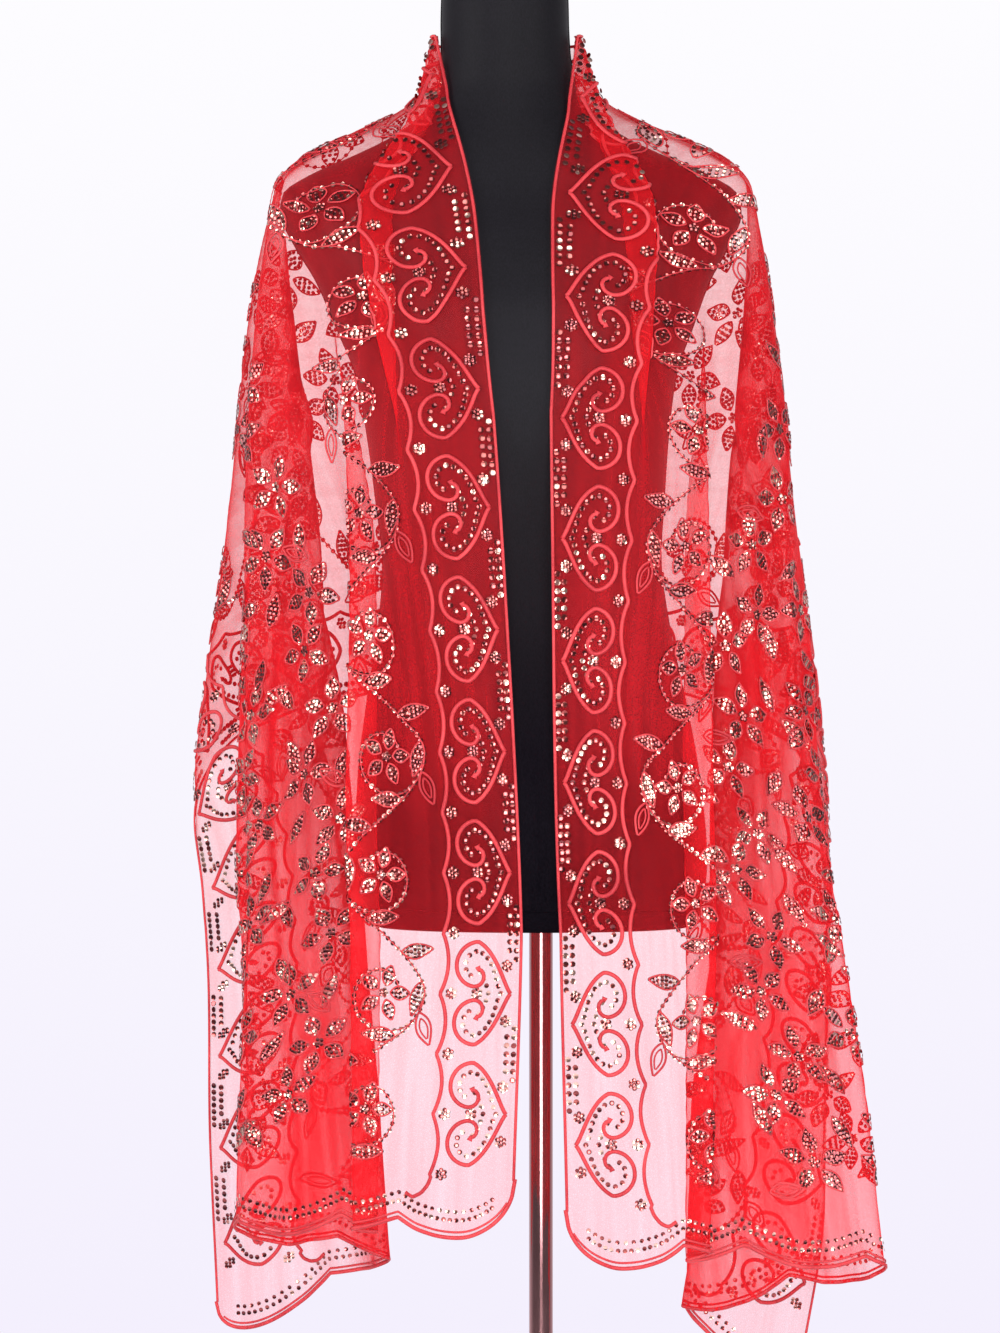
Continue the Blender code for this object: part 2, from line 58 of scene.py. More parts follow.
# The drape, as in the solids. Each row is one line of the drape, each column a distance from the neck edge.
DROP_COLUMNS = {"neck": 0.0, "collar": 0.06, "shoulder": 0.18, "waist": 0.46, "corner": 0.70, "hem": 0.96}
DROPS = tuple(DROP_COLUMNS.values())
OUT_LEFT = {
    # metres out from the centre line at the neck, collar, shoulder, waist, corner and hem
    "front_edge": (0.055, 0.047, 0.029, 0.018, 0.015, 0.022),
    "lapel": (0.057, 0.063, 0.108, 0.090, 0.087, 0.090),
    "narrow_tuck": (0.058, 0.068, 0.150, 0.128, 0.137, 0.137),
    "fold_one": (0.059, 0.071, 0.189, 0.224, 0.236, 0.242),
    "fold_two": (0.060, 0.072, 0.183, 0.165, 0.149, 0.130),
    "fold_three": (0.060, 0.071, 0.191, 0.244, 0.281, 0.284),
    "back_fold": (0.052, 0.064, 0.170, 0.218, 0.235, 0.235),
    "back_tuck": (0.044, 0.052, 0.145, 0.170, 0.170, 0.170),
    "back_side": (0.030, 0.034, 0.100, 0.110, 0.110, 0.110),
}
OUT_RIGHT = {
    "front_edge": (0.055, 0.047, 0.028, 0.018, 0.013, 0.018),
    "lapel": (0.057, 0.063, 0.097, 0.090, 0.085, 0.085),
    "narrow_tuck": (0.058, 0.068, 0.150, 0.131, 0.124, 0.121),
    "fold_one": (0.059, 0.071, 0.190, 0.213, 0.224, 0.258),
    "fold_two": (0.060, 0.072, 0.187, 0.160, 0.140, 0.120),
    "fold_three": (0.060, 0.071, 0.193, 0.222, 0.239, 0.230),
    "back_fold": (0.052, 0.064, 0.170, 0.205, 0.215, 0.210),
    "back_tuck": (0.044, 0.052, 0.145, 0.165, 0.165, 0.165),
    "back_side": (0.030, 0.034, 0.100, 0.110, 0.110, 0.110),
}
DEPTH_LEFT = {
    # metres behind the pole's axis at the same places
    "front_edge": (-0.012, -0.036, -0.085, -0.124, -0.116, -0.108),
    "lapel": (-0.004, -0.030, -0.078, -0.128, -0.121, -0.113),
    "narrow_tuck": (0.006, -0.014, -0.052, -0.104, -0.106, -0.100),
    "fold_one": (0.018, -0.002, -0.030, -0.030, -0.026, -0.020),
    "fold_two": (0.028, 0.010, -0.008, 0.008, 0.022, 0.026),
    "fold_three": (0.036, 0.022, 0.022, 0.070, 0.100, 0.112),
    "back_fold": (0.046, 0.042, 0.052, 0.142, 0.160, 0.160),
    "back_tuck": (0.054, 0.056, 0.070, 0.086, 0.096, 0.100),
    "back_side": (0.060, 0.068, 0.092, 0.132, 0.138, 0.138),
}
DEPTH_RIGHT = {
    **DEPTH_LEFT,
    "fold_one": (0.018, -0.002, -0.030, -0.034, -0.044, -0.052),
    "fold_two": (0.028, 0.010, -0.008, 0.004, 0.000, -0.016),
    "fold_three": (0.036, 0.022, 0.022, 0.066, 0.072, 0.042),
}
BACK_DEPTH = (0.066, 0.074, 0.098, 0.118, 0.120, 0.120)
RISE = {
    # metres higher than the front edge at the same places
    "front_edge": (0.0, 0.0, 0.0, 0.0, 0.0, 0.0),
    "lapel": (0.0, 0.0, 0.004, 0.004, 0.004, 0.004),
    "narrow_tuck": (0.0, 0.003, 0.015, 0.015, 0.015, 0.015),
    "fold_one": (0.0, 0.006, 0.030, 0.030, 0.030, 0.030),
    "fold_two": (0.0, 0.006, 0.032, 0.034, 0.036, 0.044),
    "fold_three": (0.0, 0.006, 0.032, 0.036, 0.030, 0.026),
    "back_fold": (0.0, 0.004, 0.020, 0.024, 0.020, 0.020),
    "back_tuck": (0.0, 0.003, 0.012, 0.008, 0.0, 0.0),
    "back_side": (0.0, 0.002, 0.008, 0.006, 0.004, 0.004),
}
BACK_RISE = (0.0, 0.002, 0.006, 0.006, 0.006, 0.006)
LIP = {"fold_one": 0.013, "fold_two": 0.011, "fold_three": 0.014}
LEAST_LIP = 0.003
LIP_GROWS_OVER = 0.40
BACK_FLAT = 0.035
TUCK_OVERLAP = {
    "lapel": (0.002, 0.006, 0.011, 0.0, 0.0, 0.0),
    "narrow_tuck": (0.0, 0.0, 0.0, 0.009, 0.010, 0.009),
}
TUCK_SPREAD = 0.008
TUCK_LAYER_GAP = 0.005
FALL_AT = (0.0, 0.153, 0.263, 0.60, 0.96)
FALL_HEIGHT = (1.531, 1.400, 1.298, 0.964, 0.606)
EASE_AT = (0.65, 0.80, 0.96, 1.11)
EASE = {"left": (0.865, 0.92, 0.98, 1.02), "right": (0.825, 0.90, 0.985, 1.03)}
RING_SAMPLES = 320
RING_LEVELS = 190
BEND_STEPS = 24
FULL_DROP = 1.19

# The dress form, as in the solids
FORM_FOOT_HEIGHT = 0.820
LEAN_TOP_HEIGHT = 1.54
FORM_LEAN = (-0.006, -0.029)
CLOTH_LEAN = (0.0, -0.028)
FORM_SECTIONS = (
    # height, half width, front depth, back depth, squareness
    (0.820, 0.126, 0.094, 0.096, 2.2),
    (0.832, 0.135, 0.100, 0.104, 2.2),
    (0.880, 0.140, 0.104, 0.112, 2.2),
    (0.940, 0.136, 0.103, 0.112, 2.2),
    (1.000, 0.127, 0.098, 0.100, 2.2),
    (1.060, 0.116, 0.092, 0.084, 2.2),
    (1.110, 0.111, 0.091, 0.076, 2.2),
    (1.160, 0.115, 0.099, 0.080, 2.2),
    (1.210, 0.120, 0.110, 0.087, 2.3),
    (1.260, 0.128, 0.118, 0.092, 2.3),
    (1.300, 0.143, 0.115, 0.094, 2.3),
    (1.335, 0.157, 0.104, 0.094, 2.3),
    (1.365, 0.174, 0.092, 0.090, 2.2),
    (1.390, 0.184, 0.080, 0.083, 2.1),
    (1.405, 0.181, 0.074, 0.078, 2.0),
    (1.420, 0.159, 0.069, 0.073, 2.0),
    (1.436, 0.122, 0.064, 0.068, 2.0),
    (1.452, 0.090, 0.059, 0.063, 2.0),
    (1.470, 0.067, 0.054, 0.058, 2.0),
    (1.492, 0.055, 0.050, 0.054, 2.0),
    (1.520, 0.051, 0.049, 0.052, 2.0),
    (1.562, 0.050, 0.049, 0.051, 2.0),
    (1.570, 0.044, 0.043, 0.045, 2.0),
)

# How the cloth is sampled, and how far it keeps from the form
SHEET_STEP = 0.002
NET_STEP_U = 0.0045
NET_STEP_V = 0.0031
CLOTH_CLEARANCE = 0.0026

# Creases laid on the drape. Each runs down the cloth at a distance from its front edge.
CREASES_LEFT = (
    # at its top, at its foot, top, foot, height, half width
    # the front panel, between the front edge and the narrow tuck
    (0.030, 0.024, 0.20, 0.52, 0.0022, 0.007),
    (0.052, 0.060, 0.34, 0.80, -0.0026, 0.008),
    (0.086, 0.078, 0.46, 1.00, 0.0024, 0.007),
    (0.040, 0.036, 0.70, 1.11, 0.0028, 0.009),
    (0.112, 0.104, 0.60, 1.11, -0.0030, 0.008),
    # the outer face of the sleeve-like fold, up to its first lip
    (0.150, 0.176, 0.24, 0.60, 0.0036, 0.007),
    (0.176, 0.196, 0.30, 0.92, -0.0042, 0.008),
    (0.198, 0.214, 0.22, 0.74, 0.0040, 0.006),
    (0.214, 0.236, 0.44, 1.11, 0.0052, 0.008),
    (0.232, 0.258, 0.28, 0.86, -0.0044, 0.007),
    (0.252, 0.280, 0.52, 1.11, 0.0046, 0.008),
    # the layer that turns back under it
    (0.286, 0.310, 0.26, 1.11, -0.0060, 0.006),
    (0.300, 0.328, 0.36, 1.11, 0.0068, 0.006),
    (0.318, 0.346, 0.30, 1.11, -0.0062, 0.007),
    (0.334, 0.364, 0.44, 1.11, 0.0070, 0.006),
    (0.350, 0.384, 0.52, 1.11, -0.0058, 0.007),
    # the rear layer, out to the third lip
    (0.374, 0.404, 0.40, 1.11, 0.0056, 0.007),
    (0.392, 0.424, 0.48, 1.11, -0.0064, 0.007),
    (0.412, 0.444, 0.38, 1.11, 0.0060, 0.006),
    (0.432, 0.466, 0.50, 1.11, -0.0052, 0.008),
    (0.452, 0.488, 0.42, 1.11, 0.0050, 0.007),
    (0.474, 0.512, 0.54, 1.11, -0.0044, 0.008),
    # the back
    (0.560, 0.556, 0.34, 0.70, 0.0040, 0.010),
    (0.610, 0.590, 0.40, 0.66, -0.0036, 0.009),
    (0.652, 0.640, 0.36, 0.60, 0.0044, 0.010),
    (0.700, 0.694, 0.30, 0.58, -0.0038, 0.011),
    (0.752, 0.748, 0.40, 0.60, 0.0036, 0.009),
    (0.810, 0.804, 0.44, 0.58, -0.0030, 0.010),
)
CREASES_RIGHT = (
    (0.024, 0.030, 0.24, 0.60, 0.0024, 0.008),
    (0.058, 0.050, 0.30, 0.72, -0.0024, 0.007),
    (0.080, 0.088, 0.52, 1.11, 0.0026, 0.008),
    (0.034, 0.042, 0.76, 1.11, 0.0026, 0.008),
    (0.108, 0.098, 0.66, 1.11, -0.0028, 0.007),
    (0.146, 0.168, 0.28, 0.66, 0.0038, 0.008),
    (0.170, 0.186, 0.24, 0.86, -0.0038, 0.007),
    (0.190, 0.210, 0.34, 1.11, 0.0046, 0.007),
    (0.208, 0.228, 0.26, 0.80, 0.0038, 0.006),
    (0.226, 0.250, 0.48, 1.11, -0.0046, 0.008),
    (0.244, 0.272, 0.30, 0.96, 0.0044, 0.007),
    (0.276, 0.300, 0.28, 1.11, 0.0060, 0.006),
    (0.292, 0.322, 0.40, 1.11, -0.0066, 0.007),
    (0.308, 0.342, 0.34, 1.11, 0.0064, 0.006),
    (0.326, 0.366, 0.46, 1.11, -0.0062, 0.006),
    (0.344, 0.388, 0.50, 1.11, 0.0054, 0.007),
    (0.362, 0.412, 0.44, 1.11, -0.0056, 0.007),
    (0.384, 0.436, 0.40, 1.11, 0.0058, 0.006),
    (0.404, 0.458, 0.52, 1.11, -0.0050, 0.007),
    (0.424, 0.482, 0.46, 1.11, 0.0050, 0.007),
    (0.446, 0.508, 0.56, 1.11, -0.0042, 0.008),
    (0.540, 0.536, 0.36, 0.68, -0.0038, 0.010),
    (0.584, 0.570, 0.42, 0.64, 0.0042, 0.009),
    (0.636, 0.628, 0.34, 0.60, -0.0040, 0.010),
    (0.688, 0.680, 0.38, 0.58, 0.0036, 0.010),
    (0.736, 0.730, 0.32, 0.60, -0.0034, 0.009),
    (0.790, 0.782, 0.42, 0.58, 0.0032, 0.011),
)
CREASE_FADE = 0.09
# Where many small folds lie close together: more layers of net in the line of sight
GATHERS_LEFT = (
    # at its top, at its foot, top, foot, more layers, half width
    (0.262, 0.348, 0.20, 0.60, 3.2, 0.024),
    (0.340, 0.384, 0.50, 1.11, 5.0, 0.042),
    (0.310, 0.398, 0.26, 0.60, 1.2, 0.018),
    (0.402, 0.446, 0.50, 1.11, 2.4, 0.022),
    (0.151, 0.140, 0.44, 1.11, 1.3, 0.010),
    (0.075, 0.085, 0.24, 0.68, 0.8, 0.085),
)
GATHERS_RIGHT = (
    (0.256, 0.330, 0.20, 0.60, 3.2, 0.024),
    (0.325, 0.400, 0.50, 1.11, 5.0, 0.048),
    (0.300, 0.380, 0.26, 0.60, 1.2, 0.018),
    (0.385, 0.470, 0.50, 1.11, 2.6, 0.024),
    (0.143, 0.126, 0.44, 1.11, 1.3, 0.010),
    (0.075, 0.085, 0.24, 0.68, 0.8, 0.085),
)

# The embroidery, on the flat stole
CORD_RADIUS = 0.0016
FINE_CORD_RADIUS = 0.0009
WAVE_CORD_RADIUS = 0.0015
EDGE_CORD_RADIUS = 0.0012
LEAF_CORD_RADIUS = 0.0007
STEM_CORD_RADIUS = 0.0005
CORD_FLATNESS = 0.75
CORD_LIFT = 0.0010
CORD_SIDES = 6
CORD_STEP = 0.0026
SEQUIN_RADIUS = 0.0021
SEQUIN_SIDES = 8
SEQUIN_LIFT = 0.0013
SEQUIN_CUP = 0.0005
SEQUIN_PITCH = 0.0058
SEQUIN_TILT = 0.07
SEQUIN_LEAN = 0.11
FILL_PITCH = 0.0036
FILL_RADIUS = 0.0018
HEART_COUNT = 22
HEART_PITCH = 0.0940
HEART_TIP = 0.0095
HEART_LOBE = (0.0290, 0.0220)
HEART_LOBE_RADII = (0.0180, 0.0170)
HEART_ROW_INSET = 0.0072
WAVE_AT = 0.069
WAVE_DEPTH = 0.006
WAVE_FLOWER_AT = 0.0595
EDGE_GROUP_ROWS = 7
EDGE_GROUP_PITCH = 0.0067
EDGE_GROUP_COLUMNS = (0.0052, 0.0112)
EDGE_GROUP_RADIUS = 0.0024
BINDING_INSET = 0.0012
HEM_CORD_INSET = 0.0056
HEM_DOTS = (
    # distance from the hem's edge, pitch, radius
    (0.0150, 0.0050, 0.0019),
    (0.0215, 0.0062, 0.0018),
)
STEM_SEQUIN_RADIUS = 0.0020
FLOWER_EYE_RADIUS = 0.0017

# The net's look, the cover's seams and the studio
NET_MESHES_PER_METRE = 620.0
THREAD_COVER = (0.23, 0.34)
BACKLIT_COLOUR = (0.98, 0.024, 0.036)
BACKLIT_SHARE = 0.46
FORM_SEAMS = (0.02, math.pi - 0.02, math.pi / 2.0)
FORM_RINGS = (0.836,)
SEAM_RADIUS = 0.0008
SEAM_SWELL = 0.0002
POLE_IN_FORM = 0.0597
# Light that the world gives from the front and from behind, and how much brighter it is through the net
WORLD_FILL = (0.18, 0.85)
BACKDROP_GLARE = 1.10
LAMPS = (
    # name, place, aim, size, watts
    ("front_top", (0.0, -1.9, 2.35), (0.0, 0.0, 1.10), 1.2, 18.0),
    ("front_low", (0.1, -2.6, 0.75), (0.0, 0.0, 0.90), 1.0, 40.0),
    ("left", (-1.9, -1.1, 1.70), (-0.1, 0.0, 1.00), 1.2, 34.0),
    ("right", (1.8, -1.5, 1.55), (0.1, 0.0, 1.00), 1.2, 30.0),
)


def smooth_step(value):
    value = np.clip(value, 0.0, 1.0)
    return value * value * (3.0 - 2.0 * value)


def smooth_row(knots, values, at):
    """A smooth curve through the values at the knots, straight beyond both ends."""
    knots = np.asarray(knots, float)
    values = np.asarray(values, float)
    at = np.asarray(at, float)
    steep = np.diff(values) / np.diff(knots)
    before, after = steep[:-1], steep[1:]
    total = np.where(before * after > 0.0, before + after, 1.0)
    level = np.where(before * after > 0.0, 2.0 * before * after / total, 0.0)
    slopes = np.concatenate([steep[:1], level, steep[-1:]])
    held = np.clip(at, knots[0], knots[-1])
    index = np.clip(np.searchsorted(knots, held, side="right") - 1, 0, len(knots) - 2)
    span = knots[index + 1] - knots[index]
    t = (held - knots[index]) / span
    inside = (
        (2 * t**3 - 3 * t**2 + 1) * values[index]
        + (t**3 - 2 * t**2 + t) * span * slopes[index]
        + (3 * t**2 - 2 * t**3) * values[index + 1]
        + (t**3 - t**2) * span * slopes[index + 1]
    )
    beyond = np.where(at > knots[-1], slopes[-1], slopes[0]) * (at - held)
    return inside + beyond


def centre_line(height, lean):
    share = np.clip((height - FORM_FOOT_HEIGHT) / (LEAN_TOP_HEIGHT - FORM_FOOT_HEIGHT), 0.0, 1.0)
    return lean[0] + (lean[1] - lean[0]) * share


def form_sections_at(height):
    """Half width, front depth, back depth and squareness of the form at each height."""
    table = np.array(FORM_SECTIONS)
    height = np.clip(height, table[0, 0], table[-1, 0])
    return [smooth_row(table[:, 0], table[:, column], height) for column in range(1, 5)]


def form_distance(points):
    """How far each point lies outside the form's surface. Far below the form it is large."""
    height = points[:, 2]
    half_width, front, back, squareness = form_sections_at(height)
    across = points[:, 0] - centre_line(height, FORM_LEAN)
    depth = np.where(points[:, 1] < 0.0, front, back)
    norm = (np.abs(across / half_width) ** squareness + np.abs(points[:, 1] / depth) ** squareness) ** (
        1.0 / squareness
    )
    outwards = (norm - 1.0) * np.sqrt(half_width * depth)
    below = FORM_FOOT_HEIGHT - height
    return np.where(below > 0.0, np.maximum(outwards, below), outwards)


def push_clear(points, clearance):
    """Moves points that lie in the form, or nearer than the clearance, straight out of it."""
    probe = 0.001
    for _ in range(4):
        distance = form_distance(points)
        slope = np.stack(
            [(form_distance(points + probe * axis) - distance) / probe for axis in np.eye(3)], axis=1
        )
        steepness = np.maximum(np.linalg.norm(slope, axis=1), 0.5)
        missing = np.maximum(clearance - distance / steepness, 0.0)
        points = points + slope * (missing / steepness)[:, None]
    return points


def tuck_controls(name, out, depth, overlap, spread):
    """Four control points that double the cloth back on itself at a tuck."""
    layer = TUCK_LAYER_GAP * spread / TUCK_SPREAD
    return [
        (name, out - 1.5 * spread + 2.0 * overlap, depth - layer),
        (name, out - 0.5 * spread + 2.0 * overlap, depth - 0.2 * layer),
        (name, out + 0.5 * spread - 2.0 * overlap, depth + 0.2 * layer),
        (name, out + 1.5 * spread - 2.0 * overlap, depth + layer),
    ]


def ring_controls(out_table, depth_table, drop, side_sign):
    """Control points of the ring at one distance from the neck edge, front edge first."""
    fall = float(smooth_row(FALL_AT, FALL_HEIGHT, drop))
    lines = []
    for name in out_table:
        out = float(smooth_row(DROPS, out_table[name], drop))
        depth = float(smooth_row(DROPS, depth_table[name], drop))
        if name in TUCK_OVERLAP:
            overlap = max(0.0, float(smooth_row(DROPS, TUCK_OVERLAP[name], drop)))
            spread = TUCK_SPREAD * float(smooth_step(drop / DROP_COLUMNS["shoulder"]))
            lines += tuck_controls(name, out, depth, overlap, spread)
        elif name in LIP:
            lip = LEAST_LIP + LIP[name] * float(smooth_step(drop / LIP_GROWS_OVER))
            lines += [(name, out, depth - lip), (name, out, depth + lip)]
        else:
            lines.append((name, out, depth))
    controls = []
    for name, out, depth in lines:
        height = fall + float(smooth_row(DROPS, RISE[name], drop))
        controls.append((side_sign * out + centre_line(height, CLOTH_LEAN), depth, height))
    height = fall + float(smooth_row(DROPS, BACK_RISE, drop))
    back = float(smooth_row(DROPS, BACK_DEPTH, drop))
    middle = centre_line(height, CLOTH_LEAN)
    controls.append((side_sign * BACK_FLAT + middle, back, height))
    controls.append((middle, back, height))
    return np.array(controls)


def bend_through(controls, samples):
    """A quadratic B-spline over the control points, evenly sampled by length, and its length."""
    middles = (controls[1:] + controls[:-1]) / 2.0
    starts = np.vstack([controls[:1], middles[1:-1]])
    ends = np.vstack([middles[1:-1], controls[-1:]])
    corners = controls[1:-1]
    t = np.linspace(0.0, 1.0, BEND_STEPS, endpoint=False)[:, None]
    curve = [(1 - t) ** 2 * a + 2 * t * (1 - t) * b + t**2 * c for a, b, c in zip(starts, corners, ends)]
    curve = np.vstack([*curve, controls[-1:]])
    steps = np.linalg.norm(np.diff(curve, axis=0), axis=1)
    travelled = np.concatenate([[0.0], np.cumsum(steps)])
    wanted = np.linspace(0.0, travelled[-1], samples)
    even = np.stack([np.interp(wanted, travelled, curve[:, axis]) for axis in range(3)], axis=1)
    return even, travelled[-1]


def drop_and_travel(u, v):
    """How far below the neck edge a flat point hangs, and how far round its flat ring it lies."""
    along = np.abs(u) - NECK_WRAP
    drop = np.where(along > 0.0, np.hypot(along, v), v)
    angle = np.arctan2(v, np.maximum(along, 1e-9))
    behind_neck = np.maximum(-along, 0.0)
    travelled = np.where(along > 0.0, drop * angle, drop * math.pi / 2.0 + behind_neck)
    return drop, travelled


def crease_height(creases, drop, hung):
    """How far the creases lift each point of the cloth."""
    height = np.zeros(len(drop))
    for at_top, at_foot, top, foot, rise, half_width in creases:
        share = np.clip((drop - top) / (foot - top), 0.0, 1.0)
        wander = 0.10 * half_width * np.sin(drop * 31.0 + at_top * 90.0)
        centre = at_top + (at_foot - at_top) * share + wander
        starts = smooth_step((drop - top) / CREASE_FADE)
        ends = 1.0 if foot > 1.0 else smooth_step((foot - drop) / CREASE_FADE)
        uneven = 0.80 + 0.20 * np.sin(drop * 17.0 + at_foot * 60.0)
        height += rise * uneven * starts * ends * np.exp(-(((hung - centre) / half_width) ** 2))
    return height


class HalfDrape:
    """One half of the hung cloth, which answers where a point of the flat stole lies."""

    def __init__(self, out_table, depth_table, side_sign, ease):
        self.drops = np.linspace(0.0, FULL_DROP, RING_LEVELS)
        rings = [
            bend_through(ring_controls(out_table, depth_table, drop, side_sign), RING_SAMPLES)
            for drop in self.drops
        ]
        self.rings = np.array([ring for ring, _ in rings])
        lengths = np.array([length for _, length in rings])
        material = self.drops * math.pi / 2.0 + NECK_WRAP
        shares = lengths / material
        at_edge = float(np.interp(STOLE_WIDTH, self.drops, shares))
        knots = (STOLE_WIDTH, *EASE_AT)
        eased = smooth_row(knots, (at_edge, *ease), self.drops)
        self.ease = np.where(self.drops <= STOLE_WIDTH, shares, eased)
        self.lengths = lengths

    def drop_and_hung(self, u, v):
        """The drop of a point and its distance from the front edge along the hung ring."""
        drop, travelled = drop_and_travel(u, v)
        return drop, travelled * np.interp(drop, self.drops, self.ease)

    def place(self, u, v):
        drop, hung = self.drop_and_hung(u, v)
        length = np.interp(drop, self.drops, self.lengths)
        share = np.clip(hung / length, 0.0, 1.0)
        row = drop / FULL_DROP * (RING_LEVELS - 1)
        column = share * (RING_SAMPLES - 1)
        return blend_grid(self.rings, row, column)


def blend_grid(grid, row, column):
    """Values of a grid of points between its rows and columns."""
    low_row = np.clip(row.astype(int), 0, grid.shape[0] - 2)
    low_column = np.clip(column.astype(int), 0, grid.shape[1] - 2)
    row_share = (row - low_row)[:, None]
    column_share = (column - low_column)[:, None]
    beside = low_column + 1
    near = grid[low_row, low_column] * (1 - column_share) + grid[low_row, beside] * column_share
    far = grid[low_row + 1, low_column] * (1 - column_share) + grid[low_row + 1, beside] * column_share
    return near * (1 - row_share) + far * row_share


class HungSheet:
    """The whole hung cloth on a fine grid, with its creases, which answers where a flat point lies."""

    def __init__(self):
        left = HalfDrape(OUT_LEFT, DEPTH_LEFT, -1.0, EASE["left"])
        right = HalfDrape(OUT_RIGHT, DEPTH_RIGHT, 1.0, EASE["right"])
        self.rows = int(round(STOLE_LENGTH / SHEET_STEP)) + 1
        self.columns = int(round(STOLE_WIDTH / SHEET_STEP)) + 1
        u = np.linspace(-HEM, HEM, self.rows)
        v = np.linspace(0.0, STOLE_WIDTH, self.columns)
        flat_u, flat_v = (grid.ravel() for grid in np.meshgrid(u, v, indexing="ij"))
        hung_u = flat_u + SHIFT_TO_RIGHT
        points = np.where((hung_u < 0.0)[:, None], left.place(hung_u, flat_v), right.place(hung_u, flat_v))
        self.points = push_clear(points, CLOTH_CLEARANCE).reshape(self.rows, self.columns, 3)
        self.turn_normals()
        ring_left = left.drop_and_hung(hung_u, flat_v)
        ring_right = right.drop_and_hung(hung_u, flat_v)
        creases_left = crease_height(CREASES_LEFT, *ring_left)
        creases_right = crease_height(CREASES_RIGHT, *ring_right)
        height = np.where(hung_u < 0.0, creases_left, creases_right)
        gathers = np.where(
            hung_u < 0.0, crease_height(GATHERS_LEFT, *ring_left), crease_height(GATHERS_RIGHT, *ring_right)
        )
        self.gathers = 1.0 + gathers.reshape(self.rows, self.columns, 1)
        points = self.points.reshape(-1, 3) + self.normal.reshape(-1, 3) * height[:, None]
        self.points = push_clear(points, CLOTH_CLEARANCE).reshape(self.rows, self.columns, 3)
        self.turn_normals()

    def turn_normals(self):
        along = np.gradient(self.points, axis=0)
        across = np.gradient(self.points, axis=1)
        normal = np.cross(along, across)
        self.normal = normal / np.maximum(np.linalg.norm(normal, axis=2), 1e-12)[:, :, None]

    def rows_and_columns(self, u, v):
        row = (np.clip(u, -HEM, HEM) + HEM) / STOLE_LENGTH * (self.rows - 1)
        column = np.clip(v, 0.0, STOLE_WIDTH) / STOLE_WIDTH * (self.columns - 1)
        return row, column

    def place(self, u, v, lift=0.0):
        """Places on the hung cloth of points of the flat stole, lifted off its outer face."""
        row, column = self.rows_and_columns(np.asarray(u, float), np.asarray(v, float))
        points = blend_grid(self.points, row, column)
        if np.any(lift):
            points = points + self.normals(u, v) * np.reshape(lift, (-1, 1))
        return points

    def normals(self, u, v):
        row, column = self.rows_and_columns(np.asarray(u, float), np.asarray(v, float))
        normal = blend_grid(self.normal, row, column)
        return normal / np.maximum(np.linalg.norm(normal, axis=1), 1e-12)[:, None]


def hem_line(v):
    """How far from the centre back the scalloped end lies at each distance from the neck edge."""
    lobes = SCALLOP_DEPTH * (1.0 - np.abs(np.sin(math.pi * SCALLOPS * v / STOLE_WIDTH)))
    to_side = np.minimum(v, STOLE_WIDTH - v)
    inside = np.clip(1.0 - to_side / CORNER_RADIUS, 0.0, 1.0)
    corner = CORNER_RADIUS * (1.0 - np.sqrt(1.0 - inside**2))
    return HEM - np.where(to_side < CORNER_RADIUS, corner, lobes)


def make_piece(name, points, faces, material):
    mesh = bpy.data.meshes.new(name)
    mesh.from_pydata(np.asarray(points).tolist(), [], faces)
    mesh.materials.append(material)
    mesh.shade_smooth()
    thing = bpy.data.objects.new(name, mesh)
    bpy.context.scene.collection.objects.link(thing)
    return thing


def grid_faces(rows, columns, first=0):
    start = first + np.arange(rows - 1)[:, None] * columns + np.arange(columns - 1)[None, :]
    square = np.stack([start, start + columns, start + columns + 1, start + 1], axis=2)
    return square.reshape(-1, 4).tolist()


def ring_faces(rings, sides, first=0, closed=False, capped=True):
    """Faces between neighbouring rings of points, and over both ends where the body is capped."""
    faces = []
    for ring in range(rings if closed else rings - 1):
        here, there = first + ring * sides, first + (ring + 1) % rings * sides
        for side in range(sides):
            after = (side + 1) % sides
            faces.append((here + side, here + after, there + after, there + side))
    if capped:
        faces.append(tuple(first + side for side in reversed(range(sides))))
        faces.append(tuple(first + (rings - 1) * sides + side for side in range(sides)))
    return faces


def unit_rows(rows):
    return rows / np.maximum(np.linalg.norm(rows, axis=1), 1e-9)[:, None]


